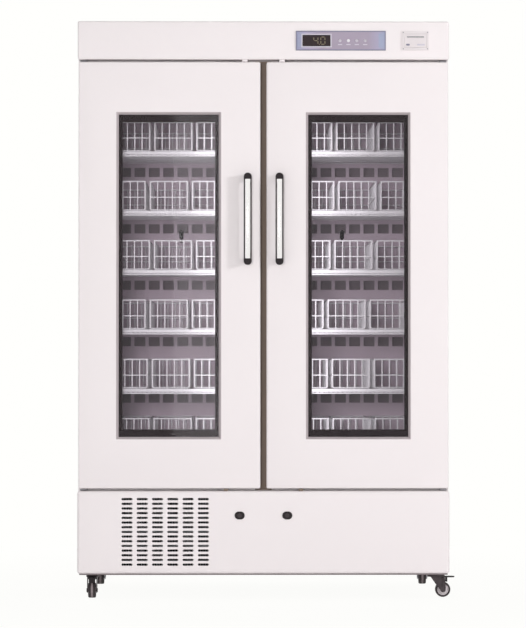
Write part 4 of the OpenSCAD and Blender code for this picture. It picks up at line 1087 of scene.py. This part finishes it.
class CABINET_OT_finishes(bpy.types.Operator):
    """Finishes for the CAD nodes that stay as they are"""

    bl_idname = "cabinet.finishes"
    bl_label = "Finishes"

    NODES = {
        "powder_coat_white": ("side_panels", "top_panel", "back_panel", "machine_rear_cover", "front_frame"),
        "stainless_steel_dull_duct": ("inner_liner",),
        "stainless_steel_brushed": ("air_duct_panel", "shelf_supports"),
        "polyurethane_foam": ("insulation",),
        "stoved_enamel_grey": ("base_frame",),
        "enamel_black": ("compressor", "condenser_fan_shroud"),
        "aluminium_mill": ("condenser", "evaporator"),
        "abs_moulded_black": ("condenser_fan", "evaporator_fan", "probe_holders"),
        "abs_formed_white": ("left_door_core", "right_door_core"),
        "float_glass": ("left_door_glass", "right_door_glass"),
        "zinc_plate": ("left_lock_bolt", "right_lock_bolt"),
        "acrylic_smoked": ("display_window",),
    }

    def execute(self, context):
        for look, names in self.NODES.items():
            for name in names:
                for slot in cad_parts[name].material_slots:
                    slot.material = finish(look)
        return {"FINISHED"}


# rays that show the stage as plain white
SEEN = ("Camera", "Glossy", "Transmission")
WHITE = "#FFFFFD"


def add_camera(context, stage):
    """Long lens straight in front, slightly below the middle."""
    alone()
    aside, shown_x, sensor = -0.1, -0.0016, 36.0
    at = Vector((aside, FACE - stage.distance, stage.eye))
    target = Vector((shown_x, FACE, stage.aim))
    bpy.ops.object.camera_add(location=at, rotation=(target - at).to_track_quat("-Z", "Y").to_euler())
    camera = bpy.context.object
    camera.data.sensor_fit, camera.data.sensor_width = "HORIZONTAL", sensor
    camera.data.lens = sensor * (target - at).length / stage.field
    camera.data.clip_end = 200.0
    context.scene.camera = camera


def add_lamp(name, place, watts, size, target=(0, FACE, 0.95)):
    """A soft lamp aimed at the doors or another point, that mirrors and glass don't show."""
    alone()
    turn = (Vector(target) - Vector(place)).to_track_quat("-Z", "Y").to_euler()
    bpy.ops.object.light_add(type="AREA", location=place, rotation=turn)
    lamp = bpy.context.object
    lamp.name = name
    lamp.data.energy, lamp.data.size = watts, size
    lamp.visible_camera = lamp.visible_glossy = lamp.visible_transmission = False
    return lamp.data


def add_sky(context, stage):
    """Soft light from all round, white to the camera, to metal and through glass."""
    world = bpy.data.worlds.new("studio")
    world.use_nodes = True
    tree = world.node_tree
    light = node(tree, "Background", {"Color": srgb("#FFFCFC"), "Strength": stage.sky})
    white = node(tree, "Background", {"Color": srgb(WHITE), "Strength": 1.0})
    mixed(tree, rays(tree, *SEEN), light, white, "World Output")
    context.scene.world = world


def add_floor():
    """Pale floor that keeps a soft shadow near the cabinet and fades into the white background."""
    alone()
    bpy.ops.mesh.primitive_plane_add(size=60.0, location=(0, 0, 0))
    floor = placed("floor")
    material, tree, shader, place = blank("floor_pale", Roughness=0.9, Base_Color=srgb("#F4F2F2"))
    far = node(tree, "VectorMath", {0: place}, "Value", operation="LENGTH")
    # the white's share near the cabinet and far off, in metres from its middle
    fade = {"Value": far, "From Min": 0.9, "From Max": 2.6, "To Min": 0.955, "To Max": 1.0}
    fade = node(tree, "MapRange", fade, interpolation_type="SMOOTHSTEP")
    share = node(tree, "Math", {0: rays(tree, *SEEN), 1: fade}, operation="MULTIPLY")
    white = node(tree, "Emission", {"Color": srgb(WHITE), "Strength": 1.0})
    mixed(tree, share, shader.outputs["BSDF"], white)
    floor.data.materials.append(material)


def add_card():
    """A bright panel behind the camera, seen only as a soft reflection in the left window."""
    left, right, low, high, away, thick = -0.50, -0.16, 0.2, 2.5, 10.30, 0.02
    panel = block("reflection_card", (left, FACE - away, low), (right, FACE - away + thick, high))
    material = bpy.data.materials.new("card_white")
    material.use_nodes = True
    tree = material.node_tree
    white = node(tree, "Emission", {"Color": srgb("#FFFCFF"), "Strength": 6.5})
    link(tree.nodes["Material Output"], {"Surface": white})
    panel.data.materials.append(material)
    panel.visible_camera = panel.visible_diffuse = panel.visible_shadow = panel.visible_transmission = False


class CABINET_OT_stage(bpy.types.Operator):
    """Floor, soft light and camera"""

    bl_idname = "cabinet.stage"
    bl_label = "Stage"

    def execute(self, context):
        stage = context.scene.cabinet_stage
        context.scene.view_settings.view_transform = "Standard"
        add_camera(context, stage)
        add_sky(context, stage)
        add_lamp("key_light", (5.3, -4.3, 2.4), stage.key, 0.6)
        add_lamp("front_light", (-0.9, -9.6, 1.3), stage.front, 1.6)
        lo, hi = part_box("right_door_glass")
        mid = (lo.z + hi.z) / 2
        for sign in SIDES.values():
            add_lamp("rear_light", (sign * 3.0, 6.5, 3.0), stage.rear, 1.6)
            place, target = (sign * 0.14, DOOR_BACK + 0.012, mid), (sign * 0.36, 0.2, mid)
            light = add_lamp("cabin_light", place, stage.cabin, 0.16, target)
            light.shape, light.size_y, light.spread = "RECTANGLE", hi.z - lo.z, math.radians(130)
        add_floor()
        add_card()
        return {"FINISHED"}


STEPS = (
    CABINET_OT_stage,
    CABINET_OT_covers,
    CABINET_OT_doors,
    CABINET_OT_handles,
    CABINET_OT_shelves,
    CABINET_OT_baskets,
    CABINET_OT_controls,
    CABINET_OT_hardware,
    CABINET_OT_finishes,
)


class CABINET_PT_sidebar(bpy.types.Panel):
    """Lists the settings and steps of the cabinet"""

    bl_idname = "CABINET_PT_sidebar"
    bl_label = "Cabinet"
    bl_space_type = "VIEW_3D"
    bl_region_type = "UI"
    bl_category = "Cabinet"

    def draw(self, context):
        for group in (context.scene.cabinet_sizes, context.scene.cabinet_colours, context.scene.cabinet_stage):
            box = self.layout.box()
            for name in group.__annotations__:
                box.prop(group, name)
        for step in STEPS:
            self.layout.operator(step.bl_idname)


GROUPS = {"cabinet_sizes": CabinetSizes, "cabinet_colours": CabinetColours, "cabinet_stage": CabinetStage}


def register():
    for cls in (*GROUPS.values(), *STEPS, CABINET_PT_sidebar):
        bpy.utils.register_class(cls)
    for name, group in GROUPS.items():
        setattr(bpy.types.Scene, name, PointerProperty(type=group))


def unregister():
    for name in GROUPS:
        delattr(bpy.types.Scene, name)
    for cls in reversed((*GROUPS.values(), *STEPS, CABINET_PT_sidebar)):
        bpy.utils.unregister_class(cls)


def main():
    register()
    for step in STEPS:
        group, name = step.bl_idname.split(".")
        getattr(getattr(bpy.ops, group), name)()


if __name__ == "__main__":
    main()
